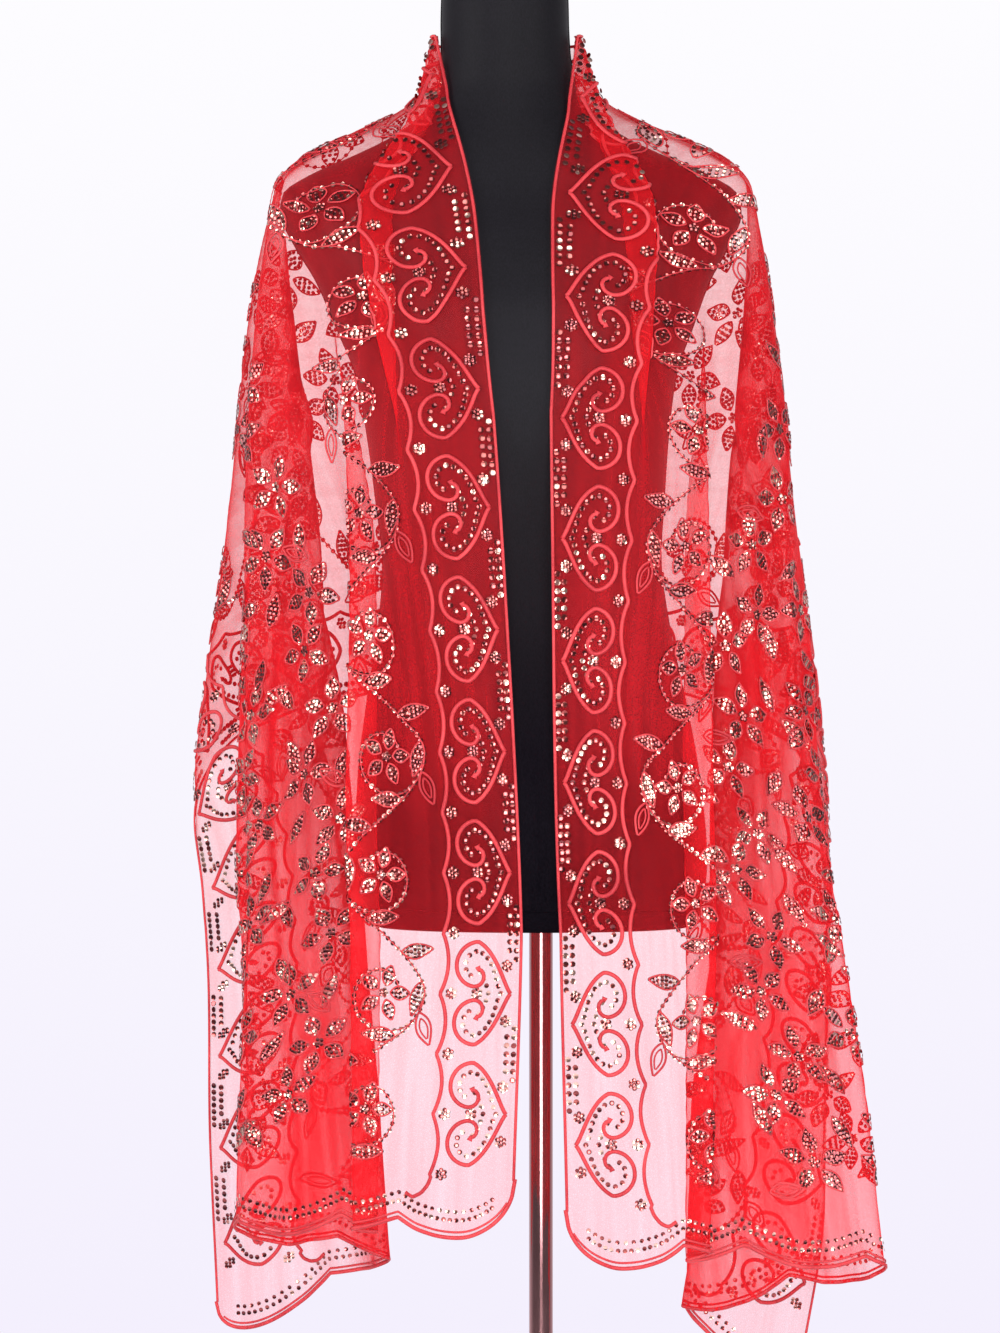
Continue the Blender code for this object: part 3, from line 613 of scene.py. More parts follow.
class Sewing:
    """Collects sequins and cords on the flat stole and turns them into meshes on the hung cloth."""

    def __init__(self, sheet):
        self.sheet = sheet
        self.sequins = {}
        self.cords = {}

    def add_sequins(self, group, points, radius=SEQUIN_RADIUS):
        points = np.asarray(points, float).reshape(-1, 2)
        self.sequins.setdefault(group, []).append(np.column_stack([points, np.full(len(points), radius)]))

    def add_cord(self, group, path, radius=CORD_RADIUS):
        self.cords.setdefault(group, []).append((even_path(path, CORD_STEP), radius))

    def dotted(self, group, path, pitch=SEQUIN_PITCH, radius=SEQUIN_RADIUS):
        self.add_sequins(group, even_path(path, pitch), radius)

    def sequin_piece(self, name, group, material, seed):
        rows = np.concatenate(self.sequins[group])
        rows = rows[np.abs(rows[:, 0]) < hem_line(rows[:, 1]) - 0.003]
        rows = rows[(rows[:, 1] > 0.002) & (rows[:, 1] < STOLE_WIDTH - 0.002)]
        u, v, radius = rows.T
        count = len(rows)
        centre = self.sheet.place(u, v, SEQUIN_LIFT)
        normal = self.sheet.normals(u, v)
        chance = np.random.default_rng(seed)
        across = np.cross(normal, [0.0, 0.0, 1.0])
        across = across / np.maximum(np.linalg.norm(across, axis=1), 1e-9)[:, None]
        down = np.cross(normal, across)
        tilt = chance.normal(0.0, SEQUIN_TILT, (count, 2))
        tilt[:, 0] += SEQUIN_LEAN * np.sin(23.0 * u + 31.0 * v)
        tilt[:, 1] += SEQUIN_LEAN * np.cos(19.0 * u - 37.0 * v)
        normal = normal + across * tilt[:, :1] + down * tilt[:, 1:]
        normal = normal / np.linalg.norm(normal, axis=1)[:, None]
        across = np.cross(normal, down)
        across = across / np.linalg.norm(across, axis=1)[:, None]
        down = np.cross(normal, across)
        turns = 2.0 * math.pi * np.arange(SEQUIN_SIDES) / SEQUIN_SIDES
        spin = chance.uniform(0.0, 2.0 * math.pi, count)[:, None] + turns
        rim = (
            centre[:, None, :]
            + radius[:, None, None] * np.cos(spin)[:, :, None] * across[:, None, :]
            + radius[:, None, None] * np.sin(spin)[:, :, None] * down[:, None, :]
        )
        points = np.concatenate([centre - normal * SEQUIN_CUP, rim.reshape(-1, 3)])
        sequin = np.arange(count)[:, None]
        first = count + sequin * SEQUIN_SIDES + np.arange(SEQUIN_SIDES)
        after = count + sequin * SEQUIN_SIDES + (np.arange(SEQUIN_SIDES) + 1) % SEQUIN_SIDES
        centre_index = np.repeat(sequin, SEQUIN_SIDES, axis=1)
        faces = np.stack([centre_index, first, after], axis=2).reshape(-1, 3).tolist()
        return make_piece(name, points, faces, material)

    def cord_piece(self, name, group, material):
        points, faces, used = [], [], 0
        for path, radius in self.cords[group]:
            tube, squares = self.tube(path, radius, used)
            points.append(tube)
            faces += squares
            used += len(tube)
        return make_piece(name, np.concatenate(points), faces, material)

    def tube(self, path, radius, first):
        """A tube along a path of the flat stole, lying on the cloth's outer face."""
        centre = self.sheet.place(path[:, 0], path[:, 1], CORD_LIFT)
        normal = self.sheet.normals(path[:, 0], path[:, 1])
        across = unit_rows(np.cross(unit_rows(np.gradient(centre, axis=0)), normal))
        turns = 2.0 * math.pi * np.arange(CORD_SIDES) / CORD_SIDES
        ring = (
            centre[:, None, :]
            + radius * np.cos(turns)[None, :, None] * across[:, None, :]
            + CORD_FLATNESS * radius * np.sin(turns)[None, :, None] * normal[:, None, :]
        )
        return ring.reshape(-1, 3), ring_faces(len(path), CORD_SIDES, first)


def even_path(path, step):
    """The same path with points a step apart."""
    path = np.asarray(path, float)
    lengths = np.linalg.norm(np.diff(path, axis=0), axis=1)
    travelled = np.concatenate([[0.0], np.cumsum(lengths)])
    count = max(2, int(round(travelled[-1] / step)) + 1)
    wanted = np.linspace(0.0, travelled[-1], count)
    return np.stack([np.interp(wanted, travelled, path[:, axis]) for axis in range(2)], axis=1)


def arc(centre, radii, start, sweep, steps=24):
    """Points of an arc or spiral: radii may be one number or the first and last radius."""
    first, last = radii if isinstance(radii, tuple) else (radii, radii)
    turns = np.radians(start) + np.radians(sweep) * np.linspace(0.0, 1.0, steps)
    radius = np.linspace(first, last, steps)
    return np.stack([centre[0] + radius * np.cos(turns), centre[1] + radius * np.sin(turns)], axis=1)


def bezier(first, second, third, fourth, steps):
    t = np.linspace(0.0, 1.0, steps)[:, None]
    points = [np.asarray(point, float) for point in (first, second, third, fourth)]
    return (
        (1 - t) ** 3 * points[0]
        + 3 * (1 - t) ** 2 * t * points[1]
        + 3 * (1 - t) * t**2 * points[2]
        + t**3 * points[3]
    )


def heart_half(inset=0.0, last=-80.0):
    """Half a heart from its tip round the lobe, as distances along the border and from the tip."""
    depth, middle = HEART_LOBE
    first_radius, last_radius = (radius - inset for radius in HEART_LOBE_RADII)
    side = bezier(
        (0.0, 1.15 * inset),
        (0.30 * middle, 0.20 * depth + inset),
        (0.80 * (middle + first_radius), 0.42 * depth),
        (middle + first_radius, depth),
        14,
    )
    turns = np.radians(np.linspace(0.0, 90.0 - last, 26))
    radius = np.linspace(first_radius, last_radius, 26)
    lobe = np.stack([middle + radius * np.cos(turns), depth + radius * np.sin(turns)], axis=1)
    return np.vstack([side, lobe[1:]])


def border_at(edge, along, from_edge):
    """Flat points of a border motif: along the border and away from its edge."""
    v = from_edge if edge == "neck" else STOLE_WIDTH - from_edge
    return np.column_stack([along, v])


def sew_heart(sewing, edge, at):
    outline = heart_half()
    end = outline[-1]
    heading = outline[-1] - outline[-2]
    bearing = math.degrees(math.atan2(heading[1], heading[0]))
    inwards = math.radians(bearing + 90.0)
    centre = end + 0.0085 * np.array([math.cos(inwards), math.sin(inwards)])
    hook = arc(centre, (0.0085, 0.0055), bearing - 90.0, 175.0, 16)
    knob = arc(hook[-1], (0.0018, 0.0006), bearing + 60.0, 400.0, 10)
    row = np.array([[0.0, 0.0190], [0.0080, 0.0215], [0.0165, 0.0265]])
    for sign in (-1.0, 1.0):
        half = np.vstack([outline, hook[1:], knob])
        sewing.add_cord("hearts", border_at(edge, at + sign * half[:, 0], HEART_TIP + half[:, 1]))
        inner = even_path(heart_half(HEART_ROW_INSET, -55.0), SEQUIN_PITCH)
        sewing.add_sequins("hearts", border_at(edge, at + sign * inner[:, 0], HEART_TIP + inner[:, 1]))
        inner = even_path(row, SEQUIN_PITCH)[1:]
        sewing.add_sequins("hearts", border_at(edge, at + sign * inner[:, 0], HEART_TIP + inner[:, 1]))
        small_flower(sewing, edge, at + sign * 0.0215, HEART_TIP + 0.0035)
    sewing.add_sequins("hearts", border_at(edge, np.array([at]), np.array([HEART_TIP + 0.0190])))
    small_flower(sewing, edge, at, HEART_TIP + 0.0290)


def small_flower(sewing, edge, along, from_edge):
    ring = arc((0.0, 0.0), 0.0033, 0.0, 300.0, 6)
    points = border_at(edge, along + ring[:, 0], from_edge + ring[:, 1])
    sewing.add_sequins("small_flowers", points, 0.0018)
    sewing.add_sequins("small_flowers", border_at(edge, np.array([along]), np.array([from_edge])), 0.0016)


def sew_borders(sewing):
    places = (np.arange(HEART_COUNT) - (HEART_COUNT - 1) / 2.0) * HEART_PITCH
    cusp = HEART_PITCH / 2.0
    reach = places[-1] + cusp * 1.05
    along = np.linspace(-reach, reach, int(2.0 * reach / CORD_STEP))
    wave = WAVE_AT - WAVE_DEPTH * np.abs(np.sin(math.pi * (along - places[0]) / cusp)) ** 0.8
    for edge in ("neck", "lower"):
        for at in places:
            sew_heart(sewing, edge, at)
        tail_u = reach + np.array([0.006, 0.012, 0.015, 0.012])
        tail_v = WAVE_AT + np.array([0.001, 0.006, 0.013, 0.019])
        along_all = np.concatenate([-tail_u[::-1], along, tail_u])
        wave_all = np.concatenate([tail_v[::-1], wave, tail_v])
        sewing.add_cord("waves", border_at(edge, along_all, wave_all), WAVE_CORD_RADIUS)
        for at in np.arange(places[0] - cusp, places[-1] + cusp * 1.01, cusp):
            small_flower(sewing, edge, at, WAVE_FLOWER_AT)
        for at in places[:-1] + cusp:
            sew_edge_group(sewing, edge, at)


def sew_edge_group(sewing, edge, at):
    """Short columns of sequins beside the edge, between two hearts."""
    rows = np.arange(EDGE_GROUP_ROWS) - (EDGE_GROUP_ROWS - 1) / 2.0
    for column, from_edge in enumerate(EDGE_GROUP_COLUMNS):
        used = rows if column == 0 else rows[1:-1]
        points = border_at(edge, at + used * EDGE_GROUP_PITCH, np.full(len(used), from_edge))
        sewing.add_sequins("edges", points, EDGE_GROUP_RADIUS)


def sew_hems(sewing):
    v = np.linspace(0.0, STOLE_WIDTH, 260)
    for sign in (-1.0, 1.0):
        sewing.add_cord("hems", np.column_stack([sign * (hem_line(v) - BINDING_INSET), v]), CORD_RADIUS)
        inner = np.linspace(0.006, STOLE_WIDTH - 0.006, 240)
        path = np.column_stack([sign * (hem_line(inner) - HEM_CORD_INSET), inner])
        sewing.add_cord("hems", path, FINE_CORD_RADIUS)
        dots = np.linspace(0.018, STOLE_WIDTH - 0.018, 240)
        for inset, pitch, radius in HEM_DOTS:
            path = np.column_stack([sign * (hem_line(dots) - inset), dots])
            sewing.dotted("hems", path, pitch, radius)
    for at in (BINDING_INSET, STOLE_WIDTH - BINDING_INSET):
        reach = HEM - CORNER_RADIUS
        line = np.linspace(-reach, reach, int(2.0 * reach / CORD_STEP))
        sewing.add_cord("edges", np.column_stack([line, np.full(len(line), at)]), EDGE_CORD_RADIUS)


def turned(points, angle):
    turn = math.radians(angle)
    spin = np.array([[math.cos(turn), math.sin(turn)], [-math.sin(turn), math.cos(turn)]])
    return np.asarray(points) @ spin


def leaf_outline(centre, angle, length, width):
    t = np.linspace(0.0, 1.0, 14)
    side = np.sin(math.pi * t**0.85) * width / 2.0
    shape = np.vstack([np.column_stack([t * length, side]), np.column_stack([t[::-1] * length, -side[::-1]])])
    return np.asarray(centre) + turned(shape, angle)


def leaf_filling(centre, angle, length, width, pitch):
    """Rows of points that fill a leaf or a petal."""
    points = []
    rows = max(2, int(round(length / pitch)))
    for row in range(rows):
        t = (row + 0.5) / rows
        half = math.sin(math.pi * t**0.85) * width / 2.0 - 0.3 * pitch
        across = max(1, int(round(2.0 * half / pitch)) + 1) if half > 0.35 * pitch else 1
        offsets = np.linspace(-half, half, across) if across > 1 else np.zeros(1)
        points += [(t * length, offset) for offset in offsets]
    return np.asarray(centre) + turned(points, angle)


def sew_leaf(sewing, centre, angle, length=0.029, width=0.012, filled=True):
    if filled:
        sewing.add_cord("leaves", leaf_outline(centre, angle, length, width), LEAF_CORD_RADIUS)
        sewing.add_sequins("field", leaf_filling(centre, angle, length, width, FILL_PITCH), FILL_RADIUS)
        return
    sewing.add_cord("leaves", leaf_outline(centre, angle, length, width), FINE_CORD_RADIUS)
    foot = np.asarray(centre) + turned([[0.18 * length, 0.0]], angle)[0]
    sewing.add_cord("leaves", leaf_outline(foot, angle, 0.64 * length, 0.5 * width), LEAF_CORD_RADIUS)


def sew_flower(sewing, centre, size, turn):
    """A five-petal flower whose petals are filled with sequins."""
    for petal in range(5):
        angle = turn + 72.0 * petal
        foot = arc(centre, size * 0.24, angle, 0.0, 2)[0]
        sewing.add_cord("petals", leaf_outline(foot, angle, size * 0.74, size * 0.46), LEAF_CORD_RADIUS)
        filling = leaf_filling(foot, angle, size * 0.72, size * 0.42, FILL_PITCH)
        sewing.add_sequins("field", filling, FILL_RADIUS)
    sewing.add_sequins("field", arc(centre, size * 0.11, turn, 288.0, 5), FLOWER_EYE_RADIUS)
    sewing.add_sequins("field", np.asarray(centre), FLOWER_EYE_RADIUS)


# The field's scrolling stem, on the flat stole: one wave of it, mirrored to both halves and both borders
SCROLL_LENGTH = 0.188
SCROLL_MIDDLE = 0.122
SCROLL_SWING = 0.040
SCROLLS = 6
SCROLL_END_GAP = 0.055
CURL_RADII = (0.036, 0.013)
CURL_SWEEP = 400.0
LEAVES_ON_SCROLL = (
    # share of the wave, side of the stem, angle off the stem, filled
    (0.05, 1.0, 48.0, True),
    (0.16, -1.0, 40.0, True),
    (0.31, 1.0, 52.0, False),
    (0.44, -1.0, 46.0, True),
    (0.57, -1.0, 44.0, True),
    (0.69, 1.0, 42.0, True),
    (0.82, -1.0, 50.0, False),
    (0.93, 1.0, 40.0, True),
)
CURL_FLOWER = {"size": 0.024, "turn": 50.0}
MIDDLE_FLOWERS = (
    # share of the wave, away from the middle line, size, turn
    (0.02, -0.052, 0.028, 18.0),
    (0.14, 0.034, 0.027, 50.0),
    (0.30, -0.030, 0.029, 5.0),
    (0.43, 0.052, 0.028, 30.0),
    (0.56, -0.048, 0.027, 62.0),
    (0.68, 0.022, 0.029, 12.0),
    (0.83, -0.026, 0.027, 44.0),
    (0.92, 0.054, 0.028, 24.0),
)
MIDDLE_LEAVES = (
    # share of the wave, away from the middle line, angle, filled
    (0.08, -0.010, 25.0, True),
    (0.20, -0.062, 200.0, True),
    (0.24, 0.008, 60.0, True),
    (0.37, 0.014, 150.0, True),
    (0.45, -0.070, 100.0, False),
    (0.50, 0.004, 330.0, True),
    (0.62, 0.062, 20.0, True),
    (0.73, -0.058, 250.0, True),
    (0.78, 0.060, 130.0, False),
    (0.97, 0.004, 215.0, True),
)


def stem_at(share):
    """A point of the stem and its direction in degrees, at a share of one wave."""
    turn = 2.0 * math.pi * share
    point = np.array([share * SCROLL_LENGTH, SCROLL_MIDDLE + SCROLL_SWING * math.sin(turn)])
    steepness = SCROLL_SWING * 2.0 * math.pi / SCROLL_LENGTH * math.cos(turn)
    return point, math.degrees(math.atan(steepness))


def sew_scroll(sewing, start, flip, mirror):
    """One wave of the stem with its curls, leaves and flowers. Flip turns it to the lower border."""

    def onto(points):
        points = np.asarray(points, float).reshape(-1, 2)
        u = start + points[:, 0]
        v = STOLE_WIDTH - points[:, 1] if flip else points[:, 1]
        return np.column_stack([mirror * u, v])

    def heading(angle):
        angle = -angle if flip else angle
        return angle if mirror > 0.0 else 180.0 - angle

    def dotted(points):
        path = onto(points)
        if np.max(np.abs(path[:, 0])) < HEM - SCROLL_END_GAP + 0.02:
            sewing.dotted("field", path, SEQUIN_PITCH, STEM_SEQUIN_RADIUS)
            sewing.add_cord("stems", path, STEM_CORD_RADIUS)

    def fits(point):
        return abs(onto(point)[0, 0]) < HEM - SCROLL_END_GAP

    stem = np.array([stem_at(share)[0] for share in np.linspace(0.0, 1.0, 60)])
    dotted(stem)
    for share, side in ((0.25, -1.0), (0.75, 1.0)):
        top, _ = stem_at(share)
        centre = top + np.array([0.0, side * CURL_RADII[0]])
        curl = arc(centre, CURL_RADII, -90.0 * side, 0.86 * CURL_SWEEP * side, 70)
        dotted(curl)
        if fits(centre):
            sew_flower(sewing, onto(centre)[0], CURL_FLOWER["size"], heading(CURL_FLOWER["turn"]))
    for share, side, angle, filled in LEAVES_ON_SCROLL:
        point, direction = stem_at(share)
        if fits(point):
            sew_leaf(sewing, onto(point)[0], heading(direction + side * angle), filled=filled)


def sew_field(sewing):
    for mirror in (-1.0, 1.0):
        for index in range(SCROLLS):
            start = index * SCROLL_LENGTH
            sew_scroll(sewing, start, False, mirror)
            sew_scroll(sewing, start, True, mirror)
            for share, aside, size, turn in MIDDLE_FLOWERS:
                u = start + share * SCROLL_LENGTH
                if u < HEM - SCROLL_END_GAP - 0.02:
                    place = (mirror * u, STOLE_WIDTH / 2.0 + mirror * aside)
                    sew_flower(sewing, place, size, turn + 36.0 * (index % 2))
            for share, aside, angle, filled in MIDDLE_LEAVES:
                u = start + share * SCROLL_LENGTH
                if u < HEM - SCROLL_END_GAP:
                    turn = angle if mirror > 0.0 else 180.0 - angle
                    place = (mirror * u, STOLE_WIDTH / 2.0 + mirror * aside)
                    sew_leaf(sewing, place, turn, filled=filled)


def new_material(name):
    material = bpy.data.materials.new(name)
    material.use_nodes = True
    nodes = material.node_tree.nodes
    return material, nodes, material.node_tree.links, nodes["Principled BSDF"]


def set_values(shader, values):
    for name, value in values.items():
        shader.inputs[name].default_value = value


def placed_texture(nodes, links, kind, space, stretch):
    place = nodes.new("ShaderNodeTexCoord")
    mapping = nodes.new("ShaderNodeMapping")
    mapping.inputs["Scale"].default_value = stretch
    texture = nodes.new(kind)
    links.new(place.outputs[space], mapping.inputs["Vector"])
    links.new(mapping.outputs["Vector"], texture.inputs["Vector"])
    return texture


def noise_node(nodes, links, scale, detail, stretch=(1.0, 1.0, 1.0), space="Object"):
    noise = placed_texture(nodes, links, "ShaderNodeTexNoise", space, stretch)
    noise.inputs["Scale"].default_value = scale
    noise.inputs["Detail"].default_value = detail
    return noise


def range_node(nodes, links, source, low, high, from_low=0.3, from_high=0.7):
    scaled = nodes.new("ShaderNodeMapRange")
    scaled.inputs["From Min"].default_value = from_low
    scaled.inputs["From Max"].default_value = from_high
    scaled.inputs["To Min"].default_value = low
    scaled.inputs["To Max"].default_value = high
    links.new(source, scaled.inputs["Value"])
    return scaled.outputs["Result"]


def math_node(nodes, links, operation, first, second=None):
    node = nodes.new("ShaderNodeMath")
    node.operation = operation
    for socket, value in zip(node.inputs, (first, second)):
        if isinstance(value, (int, float)):
            socket.default_value = value
        elif value is not None:
            links.new(value, socket)
    return node.outputs[0]


def colour_ramp(nodes, links, source, stops):
    ramp = nodes.new("ShaderNodeValToRGB")
    ramp.color_ramp.elements[0].position = stops[0][0]
    ramp.color_ramp.elements[0].color = (*stops[0][1], 1.0)
    ramp.color_ramp.elements[1].position = stops[-1][0]
    ramp.color_ramp.elements[1].color = (*stops[-1][1], 1.0)
    for position, colour in stops[1:-1]:
        element = ramp.color_ramp.elements.new(position)
        element.color = (*colour, 1.0)
    links.new(source, ramp.inputs["Fac"])
    return ramp.outputs["Color"]


def add_bump(nodes, links, shader, height, strength, distance):
    bump = nodes.new("ShaderNodeBump")
    bump.inputs["Strength"].default_value = strength
    bump.inputs["Distance"].default_value = distance
    links.new(height, bump.inputs["Height"])
    links.new(bump.outputs["Normal"], shader.inputs["Normal"])


def net_material():
    """Fine red net: the threads' share of the view grows where the cloth is seen edge on."""
    material, nodes, links, shader = new_material("red_net")
    soft = noise_node(nodes, links, 9.0, 3.0, (1.0, 1.0, 0.35))
    stops = ((0.3, (0.88, 0.010, 0.020)), (0.7, (0.94, 0.018, 0.032)))
    links.new(colour_ramp(nodes, links, soft.outputs["Fac"], stops), shader.inputs["Base Color"])
    set_values(shader, {
        "Roughness": 0.55,
        "Specular IOR Level": 0.18,
        "Sheen Weight": 0.03,
        "Sheen Roughness": 0.4,
        "Sheen Tint": (1.0, 0.3, 0.35, 1.0),
    })
    mesh = placed_texture(nodes, links, "ShaderNodeTexVoronoi", "UV", (1.0, 1.0, 1.0))
    mesh.feature = "DISTANCE_TO_EDGE"
    mesh.inputs["Scale"].default_value = NET_MESHES_PER_METRE
    threads = range_node(nodes, links, mesh.outputs["Distance"], THREAD_COVER[1], THREAD_COVER[0], 0.0, 0.35)
    streaks = noise_node(nodes, links, 1.0, 2.0, (6.0, 95.0, 1.0), "UV")
    uneven = range_node(nodes, links, streaks.outputs["Fac"], -0.06, 0.06)
    cover = math_node(nodes, links, "ADD", threads, uneven)
    gaps = math_node(nodes, links, "SUBTRACT", 1.0, cover)
    facing = nodes.new("ShaderNodeLayerWeight")
    facing.inputs["Blend"].default_value = 0.5
    cosine = math_node(nodes, links, "SUBTRACT", 1.0, facing.outputs["Facing"])
    cosine = math_node(nodes, links, "MAXIMUM", cosine, 0.10)
    gathered = nodes.new("ShaderNodeAttribute")
    gathered.attribute_name = "layers"
    layers = math_node(nodes, links, "DIVIDE", gathered.outputs["Fac"], cosine)
    seen_through = math_node(nodes, links, "POWER", gaps, layers)
    clear = nodes.new("ShaderNodeBsdfTransparent")
    backlit = nodes.new("ShaderNodeBsdfTranslucent")
    backlit.inputs["Color"].default_value = (*BACKLIT_COLOUR, 1.0)
    thread = nodes.new("ShaderNodeMixShader")
    thread.inputs["Fac"].default_value = BACKLIT_SHARE
    links.new(shader.outputs[0], thread.inputs[1])
    links.new(backlit.outputs[0], thread.inputs[2])
    whole = nodes.new("ShaderNodeMixShader")
    links.new(seen_through, whole.inputs["Fac"])
    links.new(thread.outputs[0], whole.inputs[1])
    links.new(clear.outputs[0], whole.inputs[2])
    links.new(whole.outputs[0], nodes["Material Output"].inputs["Surface"])
    add_bump(nodes, links, shader, mesh.outputs["Distance"], 0.12, 0.0003)
    return material


def cord_material():
    material, nodes, links, shader = new_material("satin_cord")
    strands = noise_node(nodes, links, 1400.0, 2.0)
    tint = noise_node(nodes, links, 22.0, 2.0)
    mixed = math_node(nodes, links, "ADD", strands.outputs["Fac"], tint.outputs["Fac"])
    stops = ((0.38, (0.38, 0.014, 0.024)), (0.50, (0.54, 0.030, 0.040)), (0.62, (0.64, 0.052, 0.062)))
    half = math_node(nodes, links, "MULTIPLY", mixed, 0.5)
    links.new(colour_ramp(nodes, links, half, stops), shader.inputs["Base Color"])
    set_values(shader, {
        "Roughness": 0.46,
        "Specular IOR Level": 0.30,
        "Sheen Weight": 0.08,
        "Sheen Tint": (1.0, 0.6, 0.6, 1.0),
    })
    add_bump(nodes, links, shader, strands.outputs["Fac"], 0.4, 0.0003)
    return material


def sequin_material():
    material, nodes, links, shader = new_material("sequins")
    geometry = nodes.new("ShaderNodeNewGeometry")
    # Painted highlights: sequins whose colour falls on the two pale peach stops stand in for glints of the
    # lamps, and this noise gathers them in patches; the dark stops are the sequins' own uneven tone.
    tone_and_glint_patches = noise_node(nodes, links, 13.0, 1.0)
    lean = range_node(nodes, links, tone_and_glint_patches.outputs["Fac"], -0.28, 0.28, 0.35, 0.65)
    chance = math_node(nodes, links, "ADD", geometry.outputs["Random Per Island"], lean)
    stops = (
        (0.0, (0.17, 0.020, 0.024)),
        (0.45, (0.30, 0.045, 0.042)),
        (0.78, (0.42, 0.095, 0.082)),
        (0.84, (0.80, 0.42, 0.35)),
        (1.0, (0.86, 0.52, 0.43)),
    )
    links.new(colour_ramp(nodes, links, chance, stops), shader.inputs["Base Color"])
    set_values(shader, {"Metallic": 1.0, "Coat Weight": 0.8, "Coat Roughness": 0.12})
    smear = noise_node(nodes, links, 160.0, 1.0)
    links.new(range_node(nodes, links, smear.outputs["Fac"], 0.13, 0.27), shader.inputs["Roughness"])
    return material


def form_material():
    material, nodes, links, shader = new_material("form_cover")
    weave = noise_node(nodes, links, 900.0, 3.0, (1.0, 1.0, 0.5))
    cloud = noise_node(nodes, links, 5.0, 2.0)
    mixed = math_node(nodes, links, "ADD", weave.outputs["Fac"], cloud.outputs["Fac"])
    half = math_node(nodes, links, "MULTIPLY", mixed, 0.5)
    stops = ((0.38, (0.003, 0.0025, 0.004)), (0.62, (0.007, 0.006, 0.009)))
    links.new(colour_ramp(nodes, links, half, stops), shader.inputs["Base Color"])
    shader.inputs["Roughness"].default_value = 0.60
    place = nodes.new("ShaderNodeTexCoord")
    axes = nodes.new("ShaderNodeSeparateXYZ")
    links.new(place.outputs["Object"], axes.inputs["Vector"])
    # Painted shade: the gloss fades out from the chest down to the lower form, so the part that sits in the
    # cloth's shade looks darker.
    gloss_fading_to_painted_shade = range_node(nodes, links, axes.outputs["Z"], 0.0, 0.13, 0.96, 1.20)
    links.new(gloss_fading_to_painted_shade, shader.inputs["Specular IOR Level"])
    shader.inputs["Sheen Weight"].default_value = 0.01
    shader.inputs["Sheen Tint"].default_value = (0.8, 0.75, 0.9, 1.0)
    add_bump(nodes, links, shader, weave.outputs["Fac"], 0.25, 0.0003)
    return material


def chrome_material():
    material, nodes, links, shader = new_material("chrome")
    smear = noise_node(nodes, links, 25.0, 3.0, (1.0, 1.0, 0.3))
    stops = ((0.3, (0.42, 0.19, 0.20)), (0.7, (0.50, 0.26, 0.27)))
    links.new(colour_ramp(nodes, links, smear.outputs["Fac"], stops), shader.inputs["Base Color"])
    shader.inputs["Metallic"].default_value = 1.0
    links.new(range_node(nodes, links, smear.outputs["Fac"], 0.07, 0.16), shader.inputs["Roughness"])
    return material


def build_net(sheet, material):
    rows = int(round(STOLE_LENGTH / NET_STEP_U)) + 1
    columns = int(round(STOLE_WIDTH / NET_STEP_V)) + 1
    share = np.linspace(-1.0, 1.0, rows)[:, None]
    v = np.linspace(0.0, STOLE_WIDTH, columns)[None, :]
    u = share * hem_line(v)
    v = np.repeat(v, rows, axis=0)
    points = sheet.place(u.ravel(), v.ravel())
    net = make_piece("net_stole", points, grid_faces(rows, columns), material)
    row, column = sheet.rows_and_columns(u.ravel(), v.ravel())
    layers = net.data.attributes.new("layers", "FLOAT", "POINT")
    layers.data.foreach_set("value", blend_grid(sheet.gathers, row, column).astype(np.float32).ravel())
    flat = np.stack([u.ravel(), v.ravel()], axis=1)
    corners = np.zeros(len(net.data.loops), dtype=np.int32)
    net.data.loops.foreach_get("vertex_index", corners)
    layer = net.data.uv_layers.new(name="flat_stole")
    layer.uv.foreach_set("vector", flat[corners].astype(np.float32).ravel())
    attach(net, "root")
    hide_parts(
        "net_back", "net_shoulder_left", "net_shoulder_right", "net_front_left", "net_front_right"
    )
    return net


def build_embroidery(sheet, cord, sequin):
    sewing = Sewing(sheet)
    sew_borders(sewing)
    sew_hems(sewing)
    sew_field(sewing)
    pieces = []
    replaced = {"edges": ("edge_cord_neck", "edge_cord_lower"), "hems": ("hem_cord_left", "hem_cord_right")}
    for group in sewing.cords:
        piece = sewing.cord_piece(f"cord_{group}", group, cord)
        if group in replaced:
            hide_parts(*replaced[group])
        pieces.append(piece)
    for seed, group in enumerate(sewing.sequins):
        piece = sewing.sequin_piece(f"sequins_{group}", group, sequin, seed + 1)
        pieces.append(piece)
    for piece in pieces:
        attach(piece, "root")
    return pieces


def section_point(height, turn, swell=0.0):
    """A point of the form's surface, by height and by the turn round it from the right side."""
    half_width, front, back, squareness = form_sections_at(height)
    cosine, sine = np.cos(turn), np.sin(turn)
    depth = np.where(sine < 0.0, front, back)
    across = np.sign(cosine) * np.abs(cosine) ** (2.0 / squareness) * (half_width + swell)
    along = np.sign(sine) * np.abs(sine) ** (2.0 / squareness) * (depth + swell)
    return np.stack([across + centre_line(height, FORM_LEAN), along, height + np.zeros_like(across)], axis=-1)


def build_form(material):
    low, high = FORM_SECTIONS[0][0], FORM_SECTIONS[-1][0]
    heights = np.unique(np.concatenate([np.linspace(low, high, 190), [row[0] for row in FORM_SECTIONS]]))
    sides = 144
    turns = 2.0 * math.pi * np.arange(sides) / sides
    points = np.concatenate([section_point(height, turns) for height in heights])
    form = make_piece("dress_form", points, ring_faces(len(heights), sides), material)
    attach(form, "root")
    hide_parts("form_torso")


